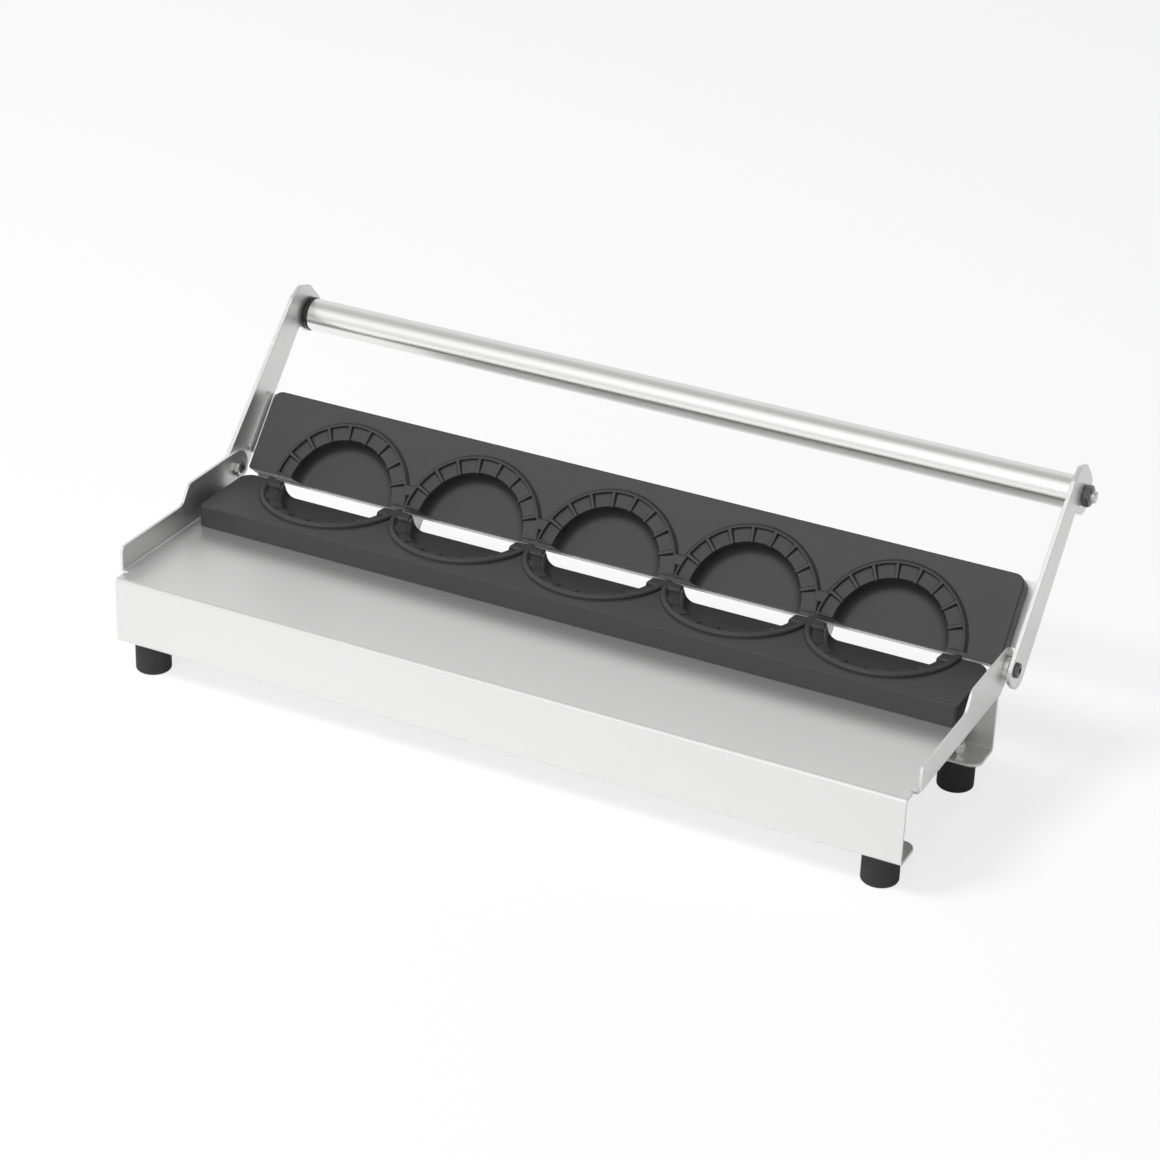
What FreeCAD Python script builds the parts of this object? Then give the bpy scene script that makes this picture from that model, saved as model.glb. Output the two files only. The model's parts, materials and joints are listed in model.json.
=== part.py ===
import FreeCAD
import Part
import math
import os

V = FreeCAD.Vector
X_AXIS = V(1, 0, 0)
Y_AXIS = V(0, 1, 0)
Z_AXIS = V(0, 0, 1)
SIDES = {"left": -1, "right": 1}

# Moulds, millimetres. The row of moulds sets the width and depth of the rest.
MOULD_COUNT = 5
CAVITY_R = 39.6
CAVITY_DEPTH = 9.8
CAVITY_DRAFT = 2.4
CAVITY_FLOOR_R = 8.0
MOULD_LAND = 22.3
MOULD_PITCH = 2 * CAVITY_R + MOULD_LAND
CRIMP_RIDGES = 10
CRIMP_STEP_DEG = 18.95
CRIMP_FIRST_DEG = 90.0 - (CRIMP_RIDGES - 1) * CRIMP_STEP_DEG / 2

# Raised rings round the moulds.
LOWER_RING_W = 12.9
LOWER_RING_R = CAVITY_R + LOWER_RING_W
LIP_H = 2.6
LIP_OUTER_EDGE_R = 2.4
LIP_INNER_EDGE_R = 0.8
NOTCH_W = 3.0
NOTCH_REACH = 9.4
NOTCH_DEPTH = 1.3
UPPER_RING_W = 12.9
UPPER_RING_R = CAVITY_R + UPPER_RING_W
UPPER_RING_H = 2.6
UPPER_RING_EDGE_R = 0.6
RING_WALL_RUN = 2.0
RING_RIM_W = 1.5
RIM_TOP_R = UPPER_RING_R - RING_WALL_RUN
PAD_OUTER_R = RIM_TOP_R - RING_RIM_W
PAD_INNER_DEPTH = 0.3
PAD_OUTER_DEPTH = 1.3
RIDGE_W = 2.2

# Sheet base. Y runs back from the front apron, Z up from the floor.
SHEET = 2.0
BEND_OUTER = 3.0
BEND_INNER = BEND_OUTER - SHEET
APRON_BOTTOM_Z = 22.0
APRON_H = 47.0
TABLE_Z = APRON_BOTTOM_Z + APRON_H
RETURN_DEPTH = 27.0
RETURN_CORNER_R = 8.0

# Lower die and hinge axis. The moulds are centred on the axis when the lid is shut.
LOWER_FRONT_LAND = 8.0
LOWER_END_LAND = 19.5
LOWER_DIE_T = 16.0
LOWER_FRONT_R = 3.0
LOWER_BACK_R = 9.0
TABLE_FRONT = 94.0
HINGE_BEHIND_DIE = 3.0
HINGE_INSET = 4.0
PIVOT_ABOVE_DIE = 0.8
LEAN_DEG = 50.0
LOWER_DIE_W = (MOULD_COUNT - 1) * MOULD_PITCH + 2 * (LOWER_RING_R + LOWER_END_LAND)
LOWER_DIE_FRONT_Y = TABLE_FRONT
PIVOT_Y = LOWER_DIE_FRONT_Y + LOWER_FRONT_LAND + LOWER_RING_R
LOWER_DIE_BACK_Y = PIVOT_Y - HINGE_BEHIND_DIE
LOWER_DIE_TOP_Z = TABLE_Z + LOWER_DIE_T
PIVOT_Z = LOWER_DIE_TOP_Z + PIVOT_ABOVE_DIE
BASE_DEPTH = PIVOT_Y + HINGE_INSET

# Side flanges folded up from the table, with the hinge ears.
DIE_SIDE_GAP = 7.0
FLANGE_REACH = 4.0
FLANGE_INNER_X = LOWER_DIE_W / 2 + DIE_SIDE_GAP
FLANGE_OUTER_X = FLANGE_INNER_X + SHEET
BASE_WIDTH = 2 * (FLANGE_OUTER_X - FLANGE_REACH)
FLANGE_FRONT_Y = 12.5
FLANGE_LOW_H = 17.0
FLANGE_STEP_LEAD = 9.0
FLANGE_STEP_Y = LOWER_DIE_FRONT_Y - FLANGE_STEP_LEAD
FLANGE_STEP_LEN = 9.0
FLANGE_CORNER_R = 5.0
FLANGE_STEP_R = 7.0
FLANGE_ROOT_INSET = 8.5
FLANGE_ROOT_Y = BASE_DEPTH - FLANGE_ROOT_INSET
EAR_R = 13.0
RELIEF_RISE = 1.0
RELIEF_R = 2.0
# Lap of pieces that are joined, and overrun of cutters.
LAP = 1.0
# Keeps two neighbouring corner arcs from meeting in one point.
ARC_GAP = 0.1

# Pivot hardware.
SHOULDER_R = 4.0
RUN_CLEAR = 0.05
AXIAL_CLEAR = 0.2
PIVOT_GAP = 3.5
PIVOT_HEAD_R = 5.0
PIVOT_HEAD_H = 2.3
PIVOT_HEAD_EDGE_R = 1.3
PIVOT_SOCKET_AF = 4.0
PIVOT_SOCKET_DEPTH = 1.6
PIVOT_THREAD_R = 3.0
PIVOT_WASHER_R = 8.0
PIVOT_NUT_AF = 10.0
PIVOT_NUT_H = 3.2
PIVOT_TIP = 0.4

# Upper die, in the lid's own frame: along from the axis, back from the axis.
UPPER_TOP_LAND = 9.0
UPPER_END_CLEAR = 0.9
UPPER_DIE_FROM = 3.0
UPPER_DIE_TO = UPPER_RING_R + UPPER_TOP_LAND
UPPER_DIE_W = 2 * (FLANGE_INNER_X - PIVOT_NUT_H - PIVOT_TIP - UPPER_END_CLEAR)
UPPER_FACE_BACK = 5.0
UPPER_DIE_T = 13.5
UPPER_TOP_R = 7.0
UPPER_BOTTOM_R = 2.0

# Back plate of the lid, with cheeks on the arms and stop lugs.
PLATE_T = 1.5
PLATE_BEND_R = 3.0
PLATE_END_GAP = 6.0
PLATE_DROP = 1.5
CHEEK_FROM = 17.0
CHEEK_FRONT = 13.0
CHEEK_CORNER_R = 3.0
STOP_LUG_X = 1.5 * MOULD_PITCH
STOP_LUG_W = 18.0
STOP_GAP = 0.3
STOP_LUG_R = 4.0

# Arms. The head's corners are offsets from the handle's axis, with a corner radius.
ARM_T = 3.0
ARM_INNER_X = FLANGE_OUTER_X + PIVOT_GAP
ARM_OUTER_X = ARM_INNER_X + ARM_T
HANDLE_ALONG = 127.5
HANDLE_BACK = 32.0
LOBE_R = 15.0
ARM_END = -10.5
ARM_END_FRONT_R = 9.0
ARM_END_BACK_R = 13.0
ARM_FRONT_LOW = -9.0
ARM_BACK_EDGE = 1.5
ARM_BACK_LOW = UPPER_FACE_BACK + UPPER_DIE_T + PLATE_T + ARM_BACK_EDGE
ARM_NECK = 7.5
ARM_BACK_HIGH = HANDLE_BACK - ARM_NECK
ARM_SHOULDER_RISE = 2.7
ARM_SHOULDER = HANDLE_ALONG - LOBE_R + ARM_SHOULDER_RISE
ARM_TOP_DROP = 1.2
LOBE_TOP_R = LOBE_R - 1.0
LOBE_LOW_R = LOBE_R - 3.0
ARM_NECK_R = 4.0
ARM_HEAD = ((0.0, -30.0, 4.0), (11.5, -25.0, 4.0), (17.0, -12.5, 4.0))

# Handle.
ROD_R = 5.0
ROD_END_R = 4.0
ROD_NUB = 3.0
ROD_NUT_AF = 13.0
ROD_NUT_H = 5.0
TUBE_R = 11.3
TUBE_WALL = 1.4
BUSH_LIP = 0.5
BUSH_FLANGE_R = TUBE_R + BUSH_LIP
BUSH_FLANGE_T = 3.4
BUSH_EDGE_R = 1.2
BUSH_SPIGOT_LEN = 16.0
BUSH_AXIAL_CLEAR = 0.3

# Die screws, in from the edges of the dies.
SCREW_R = 2.5
SCREW_HOLE_R = 2.75
SCREW_HEAD_R = 4.75
SCREW_HEAD_H = 3.2
SCREW_HEAD_EDGE_R = 1.4
SCREW_BITE = 6.0
SCREW_HOLE_EXTRA = 1.0
WASHER_R = 6.0
WASHER_T = 1.0
DIE_SCREW_X = 1.5 * MOULD_PITCH
SCREW_FRONT_INSET = 13.0
LOWER_SCREW_BACK_INSET = 12.5
UPPER_SCREW_TOP_INSET = 13.5
LOWER_SCREW_YS = (LOWER_DIE_FRONT_Y + SCREW_FRONT_INSET, LOWER_DIE_BACK_Y - LOWER_SCREW_BACK_INSET)
UPPER_SCREW_ALONGS = (UPPER_DIE_FROM + SCREW_FRONT_INSET, UPPER_DIE_TO - UPPER_SCREW_TOP_INSET)
CROSS_W = 1.2
CROSS_LEN = 5.0
CROSS_DEPTH = 1.5

# Feet.
FOOT_SIDE_INSET = 18.0
FOOT_X = BASE_WIDTH / 2 - FOOT_SIDE_INSET
FOOT_OFFSET = 1.0
FOOT_INSET = (SHEET + RETURN_DEPTH) / 2 + FOOT_OFFSET
FOOT_R = 12.0
FOOT_EDGE_R = 1.5
FOOT_TOP_EDGE_R = 0.8
FOOT_BORE_R = 5.5
FOOT_BORE_DEPTH = 8.0
FOOT_HEAD_R = 4.6
FOOT_HEAD_H = 4.0
DOME_NUT_AF = 8.0
DOME_NUT_H = 4.5
DOME_NUT_R = 3.7
DOME_SINK = 0.3
FOOT_WASHER_R = 5.5
STUD_IN_NUT = 4.0


def outline(points, place):
    """Closed wire of straight runs with round corners.

    points holds (a, b, corner radius), and place turns (a, b) into a vector.
    """
    count = len(points)
    corners = []
    for i in range(count):
        a0, b0, _ = points[i - 1]
        a1, b1, radius = points[i]
        a2, b2, _ = points[(i + 1) % count]
        before = V(a0 - a1, b0 - b1, 0).normalize()
        after = V(a2 - a1, b2 - b1, 0).normalize()
        if radius <= 0:
            corners.append((V(a1, b1, 0), None, V(a1, b1, 0)))
            continue
        half = before.getAngle(after) / 2
        reach = radius / math.tan(half)
        middle = (before + after).normalize() * (radius / math.sin(half) - radius)
        corner = V(a1, b1, 0)
        corners.append((corner + before * reach, corner + middle, corner + after * reach))
    edges = []
    for i in range(count):
        start, middle, end = corners[i]
        if middle is not None:
            stations = [place(point.x, point.y) for point in (start, middle, end)]
            edges.append(Part.Arc(*stations).toShape())
        following = corners[(i + 1) % count][0]
        if end.distanceToPoint(following) > 1e-6:
            edges.append(Part.makeLine(place(end.x, end.y), place(following.x, following.y)))
    return Part.Wire(edges)


def prism(points, place, travel):
    """Solid from a rounded outline pushed along a vector."""
    return Part.Face(outline(points, place)).extrude(travel)


def turned(points, angle=360.0, start=0.0):
    """Solid from an (r, z) outline turned about Z."""
    face = Part.Face(outline(points, lambda r, z: V(r, 0, z)))
    face.rotate(V(), Z_AXIS, start)
    return face.revolve(V(), Z_AXIS, angle)


def at_yz(x):
    return lambda y, z: V(x, y, z)


def at_xy(z):
    return lambda x, y: V(x, y, z)


def moved(shape, x=0.0, y=0.0, z=0.0):
    copy = shape.copy()
    copy.translate(V(x, y, z))
    return copy


def rod_x(x0, x1, y, z, radius):
    """Cylinder along X between two stations."""
    return Part.makeCylinder(radius, abs(x1 - x0), V(min(x0, x1), y, z), X_AXIS)


def rod_z(x, y, z0, z1, radius):
    """Cylinder along Z between two heights."""
    return Part.makeCylinder(radius, abs(z1 - z0), V(x, y, min(z0, z1)), Z_AXIS)


def box(x0, x1, y0, y1, z0, z1):
    return Part.makeBox(x1 - x0, y1 - y0, z1 - z0, V(x0, y0, z0))


def hexagon(across_flats, height, chamfer=0.4):
    """Upright hexagon prism on Z = 0 with turned corners."""
    radius = across_flats / math.sqrt(3)
    turns = [k * math.pi / 3 for k in range(6)]
    points = [V(radius * math.cos(turn), radius * math.sin(turn), 0) for turn in turns]
    body = Part.Face(Part.makePolygon(points + points[:1])).extrude(V(0, 0, height))
    flat = across_flats / 2
    blank = turned([(0, 0, 0), (flat, 0, 0), (radius, chamfer, 0), (radius, height - chamfer, 0),
                    (flat, height, 0), (0, height, 0)])
    return body.common(blank)


def laid_on_x(shape, x, y, z, side):
    """Turn a shape built up Z so that it points outward along X on the given side."""
    copy = shape.copy()
    copy.rotate(V(), Y_AXIS, 90.0 * side)
    copy.translate(V(x, y, z))
    return copy


def mould_xs():
    middle = (MOULD_COUNT - 1) / 2
    return [(k - middle) * MOULD_PITCH for k in range(MOULD_COUNT)]


def cavity_cutter():
    """Half bowl cutter with its mouth on Z = 0."""
    floor_r = CAVITY_R - CAVITY_DRAFT
    return turned([(0, 1, 0), (CAVITY_R, 1, 0), (CAVITY_R, 0, 0), (floor_r, -CAVITY_DEPTH, CAVITY_FLOOR_R),
                   (0, -CAVITY_DEPTH, 0)])


def sheet_c_section():
    """Front apron, table and rear apron with their return flanges."""
    low = APRON_BOTTOM_Z
    high = TABLE_Z
    back = BASE_DEPTH
    inside_low, inside_high, inside_back = low + SHEET, high - SHEET, back - SHEET
    points = [(RETURN_DEPTH, low, 0), (0, low, BEND_OUTER), (0, high, BEND_OUTER), (back, high, BEND_OUTER),
              (back, low, BEND_OUTER), (back - RETURN_DEPTH, low, 0), (back - RETURN_DEPTH, inside_low, 0),
              (inside_back, inside_low, BEND_INNER), (inside_back, inside_high, BEND_INNER),
              (SHEET, inside_high, BEND_INNER), (SHEET, inside_low, BEND_INNER),
              (RETURN_DEPTH, inside_low, 0)]
    body = prism(points, at_yz(-BASE_WIDTH / 2), V(BASE_WIDTH, 0, 0))
    corners = []
    for edge in body.Edges:
        first, last = edge.Vertexes[0].Point, edge.Vertexes[-1].Point
        upright = abs(first.x - last.x) < 1e-6 and abs(first.y - last.y) < 1e-6
        if not upright or min(first.z, last.z) > APRON_BOTTOM_Z + SHEET:
            continue
        if min(abs(first.y - RETURN_DEPTH), abs(first.y - back + RETURN_DEPTH)) < 1e-6:
            corners.append(edge)
    return body.makeFillet(RETURN_CORNER_R, corners)


def side_flange(side):
    """Folded side flange with its step and hinge ear."""
    low = TABLE_Z + FLANGE_LOW_H
    high = PIVOT_Z + EAR_R
    under = TABLE_Z - 2 * SHEET
    ear_back = PIVOT_Y + EAR_R
    shape_yz = [(FLANGE_FRONT_Y, under, 0), (FLANGE_FRONT_Y, low, FLANGE_CORNER_R),
                (FLANGE_STEP_Y, low, FLANGE_STEP_R), (FLANGE_STEP_Y + FLANGE_STEP_LEN, high, FLANGE_STEP_R),
                (ear_back, high, EAR_R - ARC_GAP), (ear_back, PIVOT_Z - EAR_R / 2, EAR_R / 2),
                (FLANGE_ROOT_Y, TABLE_Z + RELIEF_RISE, RELIEF_R), (FLANGE_ROOT_Y, under, 0)]
    root = BASE_WIDTH / 2 - LAP
    far = FLANGE_OUTER_X + LAP
    blank = prism(shape_yz, at_yz(side * far), V(-side * (far - root + LAP), 0, 0))
    l_section = [(root, TABLE_Z - SHEET, 0), (FLANGE_OUTER_X, TABLE_Z - SHEET, BEND_OUTER),
                 (FLANGE_OUTER_X, high + LAP, 0), (FLANGE_INNER_X, high + LAP, 0),
                 (FLANGE_INNER_X, TABLE_Z, BEND_INNER), (root, TABLE_Z, 0)]
    placed = [(side * x, z, r) for x, z, r in l_section]
    folded = prism(placed, lambda x, z: V(x, 0, z), V(0, ear_back + LAP, 0))
    return folded.common(blank)


def make_base_tray():
    body = sheet_c_section().fuse([side_flange(side) for side in SIDES.values()])
    holes = [rod_x(-FLANGE_OUTER_X - 1, FLANGE_OUTER_X + 1, PIVOT_Y, PIVOT_Z, PIVOT_THREAD_R)]
    for x in (-DIE_SCREW_X, DIE_SCREW_X):
        for y in LOWER_SCREW_YS:
            holes.append(rod_z(x, y, TABLE_Z - SHEET - 1, TABLE_Z + 1, SCREW_HOLE_R))
    for _, x, y in foot_places():
        holes.append(rod_z(x, y, APRON_BOTTOM_Z - 1, APRON_BOTTOM_Z + SHEET + 1, SCREW_HOLE_R))
    return body.cut(holes).removeSplitter()


def foot_places():
    rows = {"front": FOOT_INSET, "rear": BASE_DEPTH - FOOT_INSET}
    places = []
    for row, y in rows.items():
        places += [(f"foot_{row}_{name}", side * FOOT_X, y) for name, side in SIDES.items()]
    return places


def make_foot(x, y):
    """Rubber foot with a recessed screw bore."""
    body = turned([(FOOT_BORE_R, 0, 0), (FOOT_R, 0, FOOT_EDGE_R), (FOOT_R, APRON_BOTTOM_Z, FOOT_TOP_EDGE_R),
                   (SCREW_R, APRON_BOTTOM_Z, 0), (SCREW_R, FOOT_BORE_DEPTH, 0),
                   (FOOT_BORE_R, FOOT_BORE_DEPTH, 0)])
    return moved(body, x, y)


def make_foot_screw(x, y):
    head_low = FOOT_BORE_DEPTH - FOOT_HEAD_H
    tip = APRON_BOTTOM_Z + SHEET + WASHER_T + STUD_IN_NUT
    head = rod_z(0, 0, head_low, FOOT_BORE_DEPTH, FOOT_HEAD_R)
    socket = moved(hexagon(PIVOT_SOCKET_AF, FOOT_HEAD_H / 2, 0.0), z=head_low)
    return moved(head.fuse(rod_z(0, 0, FOOT_BORE_DEPTH, tip, SCREW_R)).cut(socket), x, y)


def make_foot_washer(x, y):
    low = APRON_BOTTOM_Z + SHEET
    ring = rod_z(x, y, low, low + WASHER_T, FOOT_WASHER_R)
    return ring.cut(rod_z(x, y, low - 1, low + WASHER_T + 1, SCREW_R))


def make_dome_nut(x, y):
    low = APRON_BOTTOM_Z + SHEET + WASHER_T
    dome = Part.makeSphere(DOME_NUT_R, V(0, 0, DOME_NUT_H - DOME_SINK))
    dome = dome.common(rod_z(0, 0, DOME_NUT_H - 1, DOME_NUT_H + DOME_NUT_R + 1, DOME_NUT_R + 1))
    body = hexagon(DOME_NUT_AF, DOME_NUT_H).fuse(dome)
    return moved(body.cut(rod_z(0, 0, -1, STUD_IN_NUT, SCREW_R)), x, y, low)


def lip_ring():
    """Full raised ring on Z = 0 around a mould."""
    return turned([(CAVITY_R, -1, 0), (LOWER_RING_R, -1, 0), (LOWER_RING_R, LIP_H, LIP_OUTER_EDGE_R),
                   (CAVITY_R, LIP_H, LIP_INNER_EDGE_R)])


def lip_notches():
    """Small crimp notches across a raised ring, opposite the ridges that stand clear of the hinge edge."""
    half = NOTCH_W / 2
    floor = LIP_H - NOTCH_DEPTH
    notch = box(CAVITY_R - LAP, CAVITY_R + NOTCH_REACH, -half, half, floor, LIP_H + LAP)
    cutters = []
    for k in range(1, CRIMP_RIDGES - 1):
        cutter = notch.copy()
        cutter.rotate(V(), Z_AXIS, 180.0 + CRIMP_FIRST_DEG + k * CRIMP_STEP_DEG)
        cutters.append(cutter)
    return cutters


def make_lower_die():
    half = LOWER_DIE_W / 2
    low, top = TABLE_Z, LOWER_DIE_TOP_Z
    plan = [(-half, LOWER_DIE_FRONT_Y, LOWER_FRONT_R), (half, LOWER_DIE_FRONT_Y, LOWER_FRONT_R),
            (half, LOWER_DIE_BACK_Y, LOWER_BACK_R), (-half, LOWER_DIE_BACK_Y, LOWER_BACK_R)]
    body = prism(plan, at_xy(low), V(0, 0, top - low))
    ring = lip_ring()
    keep = box(-half, half, LOWER_DIE_FRONT_Y, LOWER_DIE_BACK_Y, low, top + LIP_H + 1)
    lips = [moved(ring, x, PIVOT_Y, top).common(keep) for x in mould_xs()]
    body = body.fuse(lips)
    bowl = cavity_cutter()
    cuts = [moved(bowl, x, PIVOT_Y, top) for x in mould_xs()]
    cuts += [moved(cutter, x, PIVOT_Y, top) for x in mould_xs() for cutter in lip_notches()]
    for x in (-DIE_SCREW_X, DIE_SCREW_X):
        for y in LOWER_SCREW_YS:
            cuts.append(rod_z(x, y, low - 1, low + SCREW_BITE + SCREW_HOLE_EXTRA, SCREW_R))
    return body.cut(cuts).removeSplitter()


def die_screw():
    """Pan head screw pointing up with its head's seat on Z = 0."""
    shank_top = WASHER_T + SHEET + SCREW_BITE
    head = turned([(0, -SCREW_HEAD_H, 0), (SCREW_HEAD_R, -SCREW_HEAD_H, SCREW_HEAD_EDGE_R),
                   (SCREW_HEAD_R, 0, 0), (0, 0, 0)])
    reach, half = CROSS_LEN / 2, CROSS_W / 2
    slot = box(-reach, reach, -half, half, -SCREW_HEAD_H - LAP, CROSS_DEPTH - SCREW_HEAD_H)
    other = slot.copy()
    other.rotate(V(), Z_AXIS, 90)
    return head.fuse(rod_z(0, 0, 0, shank_top, SCREW_R)).cut([slot, other])


def flat_washer():
    return rod_z(0, 0, 0, WASHER_T, WASHER_R).cut(rod_z(0, 0, -1, WASHER_T + 1, SCREW_R))


def pivot_screw(side):
    """Shoulder screw: head outside the arm, thread through the ear."""
    head_x = ARM_OUTER_X + AXIAL_CLEAR
    tip_x = FLANGE_INNER_X - PIVOT_NUT_H - PIVOT_TIP
    head = turned([(0, 0, 0), (PIVOT_HEAD_R, 0, 0), (PIVOT_HEAD_R, PIVOT_HEAD_H, PIVOT_HEAD_EDGE_R),
                   (0, PIVOT_HEAD_H, 0)])
    socket = hexagon(PIVOT_SOCKET_AF, PIVOT_SOCKET_DEPTH + LAP, 0.0)
    socket = moved(socket, z=PIVOT_HEAD_H - PIVOT_SOCKET_DEPTH)
    head = laid_on_x(head.cut(socket), side * head_x, PIVOT_Y, PIVOT_Z, side)
    shoulder = rod_x(side * FLANGE_OUTER_X, side * head_x, PIVOT_Y, PIVOT_Z, SHOULDER_R)
    thread = rod_x(side * tip_x, side * FLANGE_OUTER_X, PIVOT_Y, PIVOT_Z, PIVOT_THREAD_R)
    return head.fuse([shoulder, thread]).removeSplitter()


def pivot_washer(side):
    """Washer on the shoulder between the ear and the arm."""
    inner = FLANGE_OUTER_X
    outer = ARM_INNER_X - AXIAL_CLEAR
    ring = rod_x(side * inner, side * outer, PIVOT_Y, PIVOT_Z, PIVOT_WASHER_R)
    return ring.cut(rod_x(side * (inner - 1), side * (outer + 1), PIVOT_Y, PIVOT_Z, SHOULDER_R))


def pivot_nut(side):
    nut = hexagon(PIVOT_NUT_AF, PIVOT_NUT_H).cut(rod_z(0, 0, -1, PIVOT_NUT_H + 1, PIVOT_THREAD_R))
    return laid_on_x(nut, side * FLANGE_INNER_X, PIVOT_Y, PIVOT_Z, -side)


def leaned(shape):
    """Turn a lid shape, built flat behind the axis at the origin, up to the open pose."""
    copy = shape.copy()
    copy.rotate(V(), X_AXIS, LEAN_DEG)
    copy.translate(V(0, PIVOT_Y, PIVOT_Z))
    return copy


def arm(side):
    """Flat arm with a rounded hinge end and a lobe for the handle."""
    top = HANDLE_ALONG + LOBE_R
    rear = HANDLE_BACK + LOBE_R
    points = [(ARM_END, ARM_FRONT_LOW, ARM_END_FRONT_R)]
    points += [(HANDLE_ALONG + along, HANDLE_BACK + back, radius) for along, back, radius in ARM_HEAD]
    points += [(top - ARM_TOP_DROP, rear, LOBE_TOP_R), (ARM_SHOULDER, rear, LOBE_LOW_R),
               (ARM_SHOULDER, ARM_BACK_HIGH, ARM_NECK_R), (ARM_END, ARM_BACK_LOW, ARM_END_BACK_R)]
    body = prism(points, lambda along, back: V(side * ARM_INNER_X, along, -back), V(side * ARM_T, 0, 0))
    far = ARM_OUTER_X + 1
    holes = [rod_x(-far, far, 0, 0, SHOULDER_R + RUN_CLEAR)]
    holes.append(rod_x(-far, far, HANDLE_ALONG, -HANDLE_BACK, ROD_END_R))
    return leaned(body.cut(holes))


def back_plate():
    """Folded plate behind the upper die, with cheeks on the arms and two stop lugs."""
    front = -(UPPER_FACE_BACK + UPPER_DIE_T)
    rear = front - PLATE_T
    half = ARM_INNER_X
    inner = PLATE_BEND_R - PLATE_T
    inside = half - PLATE_T
    section = [(-half, rear, PLATE_BEND_R), (half, rear, PLATE_BEND_R), (half, -CHEEK_FRONT, 0),
               (inside, -CHEEK_FRONT, 0), (inside, front, inner), (-inside, front, inner),
               (-inside, -CHEEK_FRONT, 0), (-half, -CHEEK_FRONT, 0)]
    channel = prism(section, lambda x, z: V(x, CHEEK_FROM, z), V(0, UPPER_DIE_TO - CHEEK_FROM, 0))
    profile = [(CHEEK_FROM, rear - LAP, 0), (UPPER_DIE_TO, rear - LAP, 0),
               (UPPER_DIE_TO, -CHEEK_FRONT, CHEEK_CORNER_R), (CHEEK_FROM, -CHEEK_FRONT, CHEEK_CORNER_R)]
    channel = channel.common(prism(profile, at_yz(-half - LAP), V(2 * (half + LAP), 0, 0)))
    web_half = FLANGE_INNER_X - PLATE_END_GAP
    lean = math.radians(LEAN_DEG)
    tip = (BASE_DEPTH + STOP_GAP - PIVOT_Y + front * math.sin(lean)) / math.cos(lean)
    web = box(-web_half, web_half, UPPER_DIE_FROM - PLATE_DROP, CHEEK_FROM + 1, rear, front)
    lugs = []
    for x in (-STOP_LUG_X, STOP_LUG_X):
        half_lug = STOP_LUG_W / 2
        lug = [(x - half_lug, tip, STOP_LUG_R), (x + half_lug, tip, STOP_LUG_R),
               (x + half_lug, UPPER_DIE_FROM + 2, 0), (x - half_lug, UPPER_DIE_FROM + 2, 0)]
        lugs.append(prism(lug, at_xy(rear), V(0, 0, PLATE_T)))
    holes = []
    for x in (-DIE_SCREW_X, DIE_SCREW_X):
        for along in UPPER_SCREW_ALONGS:
            holes.append(rod_z(x, along, rear - 1, front + 1, SCREW_HOLE_R))
    return leaned(channel.fuse([web] + lugs).cut(holes).removeSplitter())


def crimp_ring():
    """Full raised crimp ring on Z = 0 around an upper mould, with a sloping outer wall."""
    return turned([(CAVITY_R, -LAP, 0), (UPPER_RING_R, -LAP, 0), (UPPER_RING_R, 0, 0),
                   (RIM_TOP_R, UPPER_RING_H, UPPER_RING_EDGE_R), (CAVITY_R, UPPER_RING_H, 0)])


def crimp_pockets():
    """Sloping pockets between the ridges of one crimp ring, deepest at the rim."""
    ridge = math.degrees(2 * RIDGE_W / (CAVITY_R + PAD_OUTER_R))
    spread = CRIMP_STEP_DEG - ridge
    start = CRIMP_FIRST_DEG + ridge / 2
    inner = UPPER_RING_H - PAD_INNER_DEPTH
    outer = UPPER_RING_H - PAD_OUTER_DEPTH
    pocket = [(CAVITY_R - LAP, inner, 0), (PAD_OUTER_R, outer, 0), (PAD_OUTER_R, UPPER_RING_H + LAP, 0),
              (CAVITY_R - LAP, UPPER_RING_H + LAP, 0)]
    return [turned(pocket, spread, start + k * CRIMP_STEP_DEG) for k in range(CRIMP_RIDGES - 1)]


def upper_die():
    half = UPPER_DIE_W / 2
    face = -UPPER_FACE_BACK
    rear = face - UPPER_DIE_T
    plan = [(-half, UPPER_DIE_FROM, UPPER_BOTTOM_R), (half, UPPER_DIE_FROM, UPPER_BOTTOM_R),
            (half, UPPER_DIE_TO, UPPER_TOP_R), (-half, UPPER_DIE_TO, UPPER_TOP_R)]
    body = prism(plan, at_xy(rear), V(0, 0, UPPER_DIE_T))
    keep = box(-half, half, UPPER_DIE_FROM, UPPER_DIE_TO, rear, face + UPPER_RING_H + 1)
    ring = crimp_ring()
    body = body.fuse([moved(ring, x, 0, face).common(keep) for x in mould_xs()])
    bowl = cavity_cutter()
    cuts = [moved(bowl, x, 0, face) for x in mould_xs()]
    cuts += [moved(pocket, x, 0, face) for x in mould_xs() for pocket in crimp_pockets()]
    for x in (-DIE_SCREW_X, DIE_SCREW_X):
        for along in UPPER_SCREW_ALONGS:
            cuts.append(rod_z(x, along, rear - 1, rear + SCREW_BITE + SCREW_HOLE_EXTRA, SCREW_R))
    return leaned(body.cut(cuts).removeSplitter())


def tie_rod():
    """Handle rod with shouldered ends through the arms."""
    y, z = HANDLE_ALONG, -HANDLE_BACK
    end = ARM_OUTER_X + ROD_NUT_H + ROD_NUB
    body = rod_x(-ARM_INNER_X, ARM_INNER_X, y, z, ROD_R)
    ends = [rod_x(side * ARM_INNER_X, side * end, y, z, ROD_END_R) for side in SIDES.values()]
    return leaned(body.fuse(ends).removeSplitter())


def rod_nut(side):
    nut = hexagon(ROD_NUT_AF, ROD_NUT_H, 0.6).cut(rod_z(0, 0, -1, ROD_NUT_H + 1, ROD_END_R))
    return leaned(laid_on_x(nut, side * ARM_OUTER_X, HANDLE_ALONG, -HANDLE_BACK, side))


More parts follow.
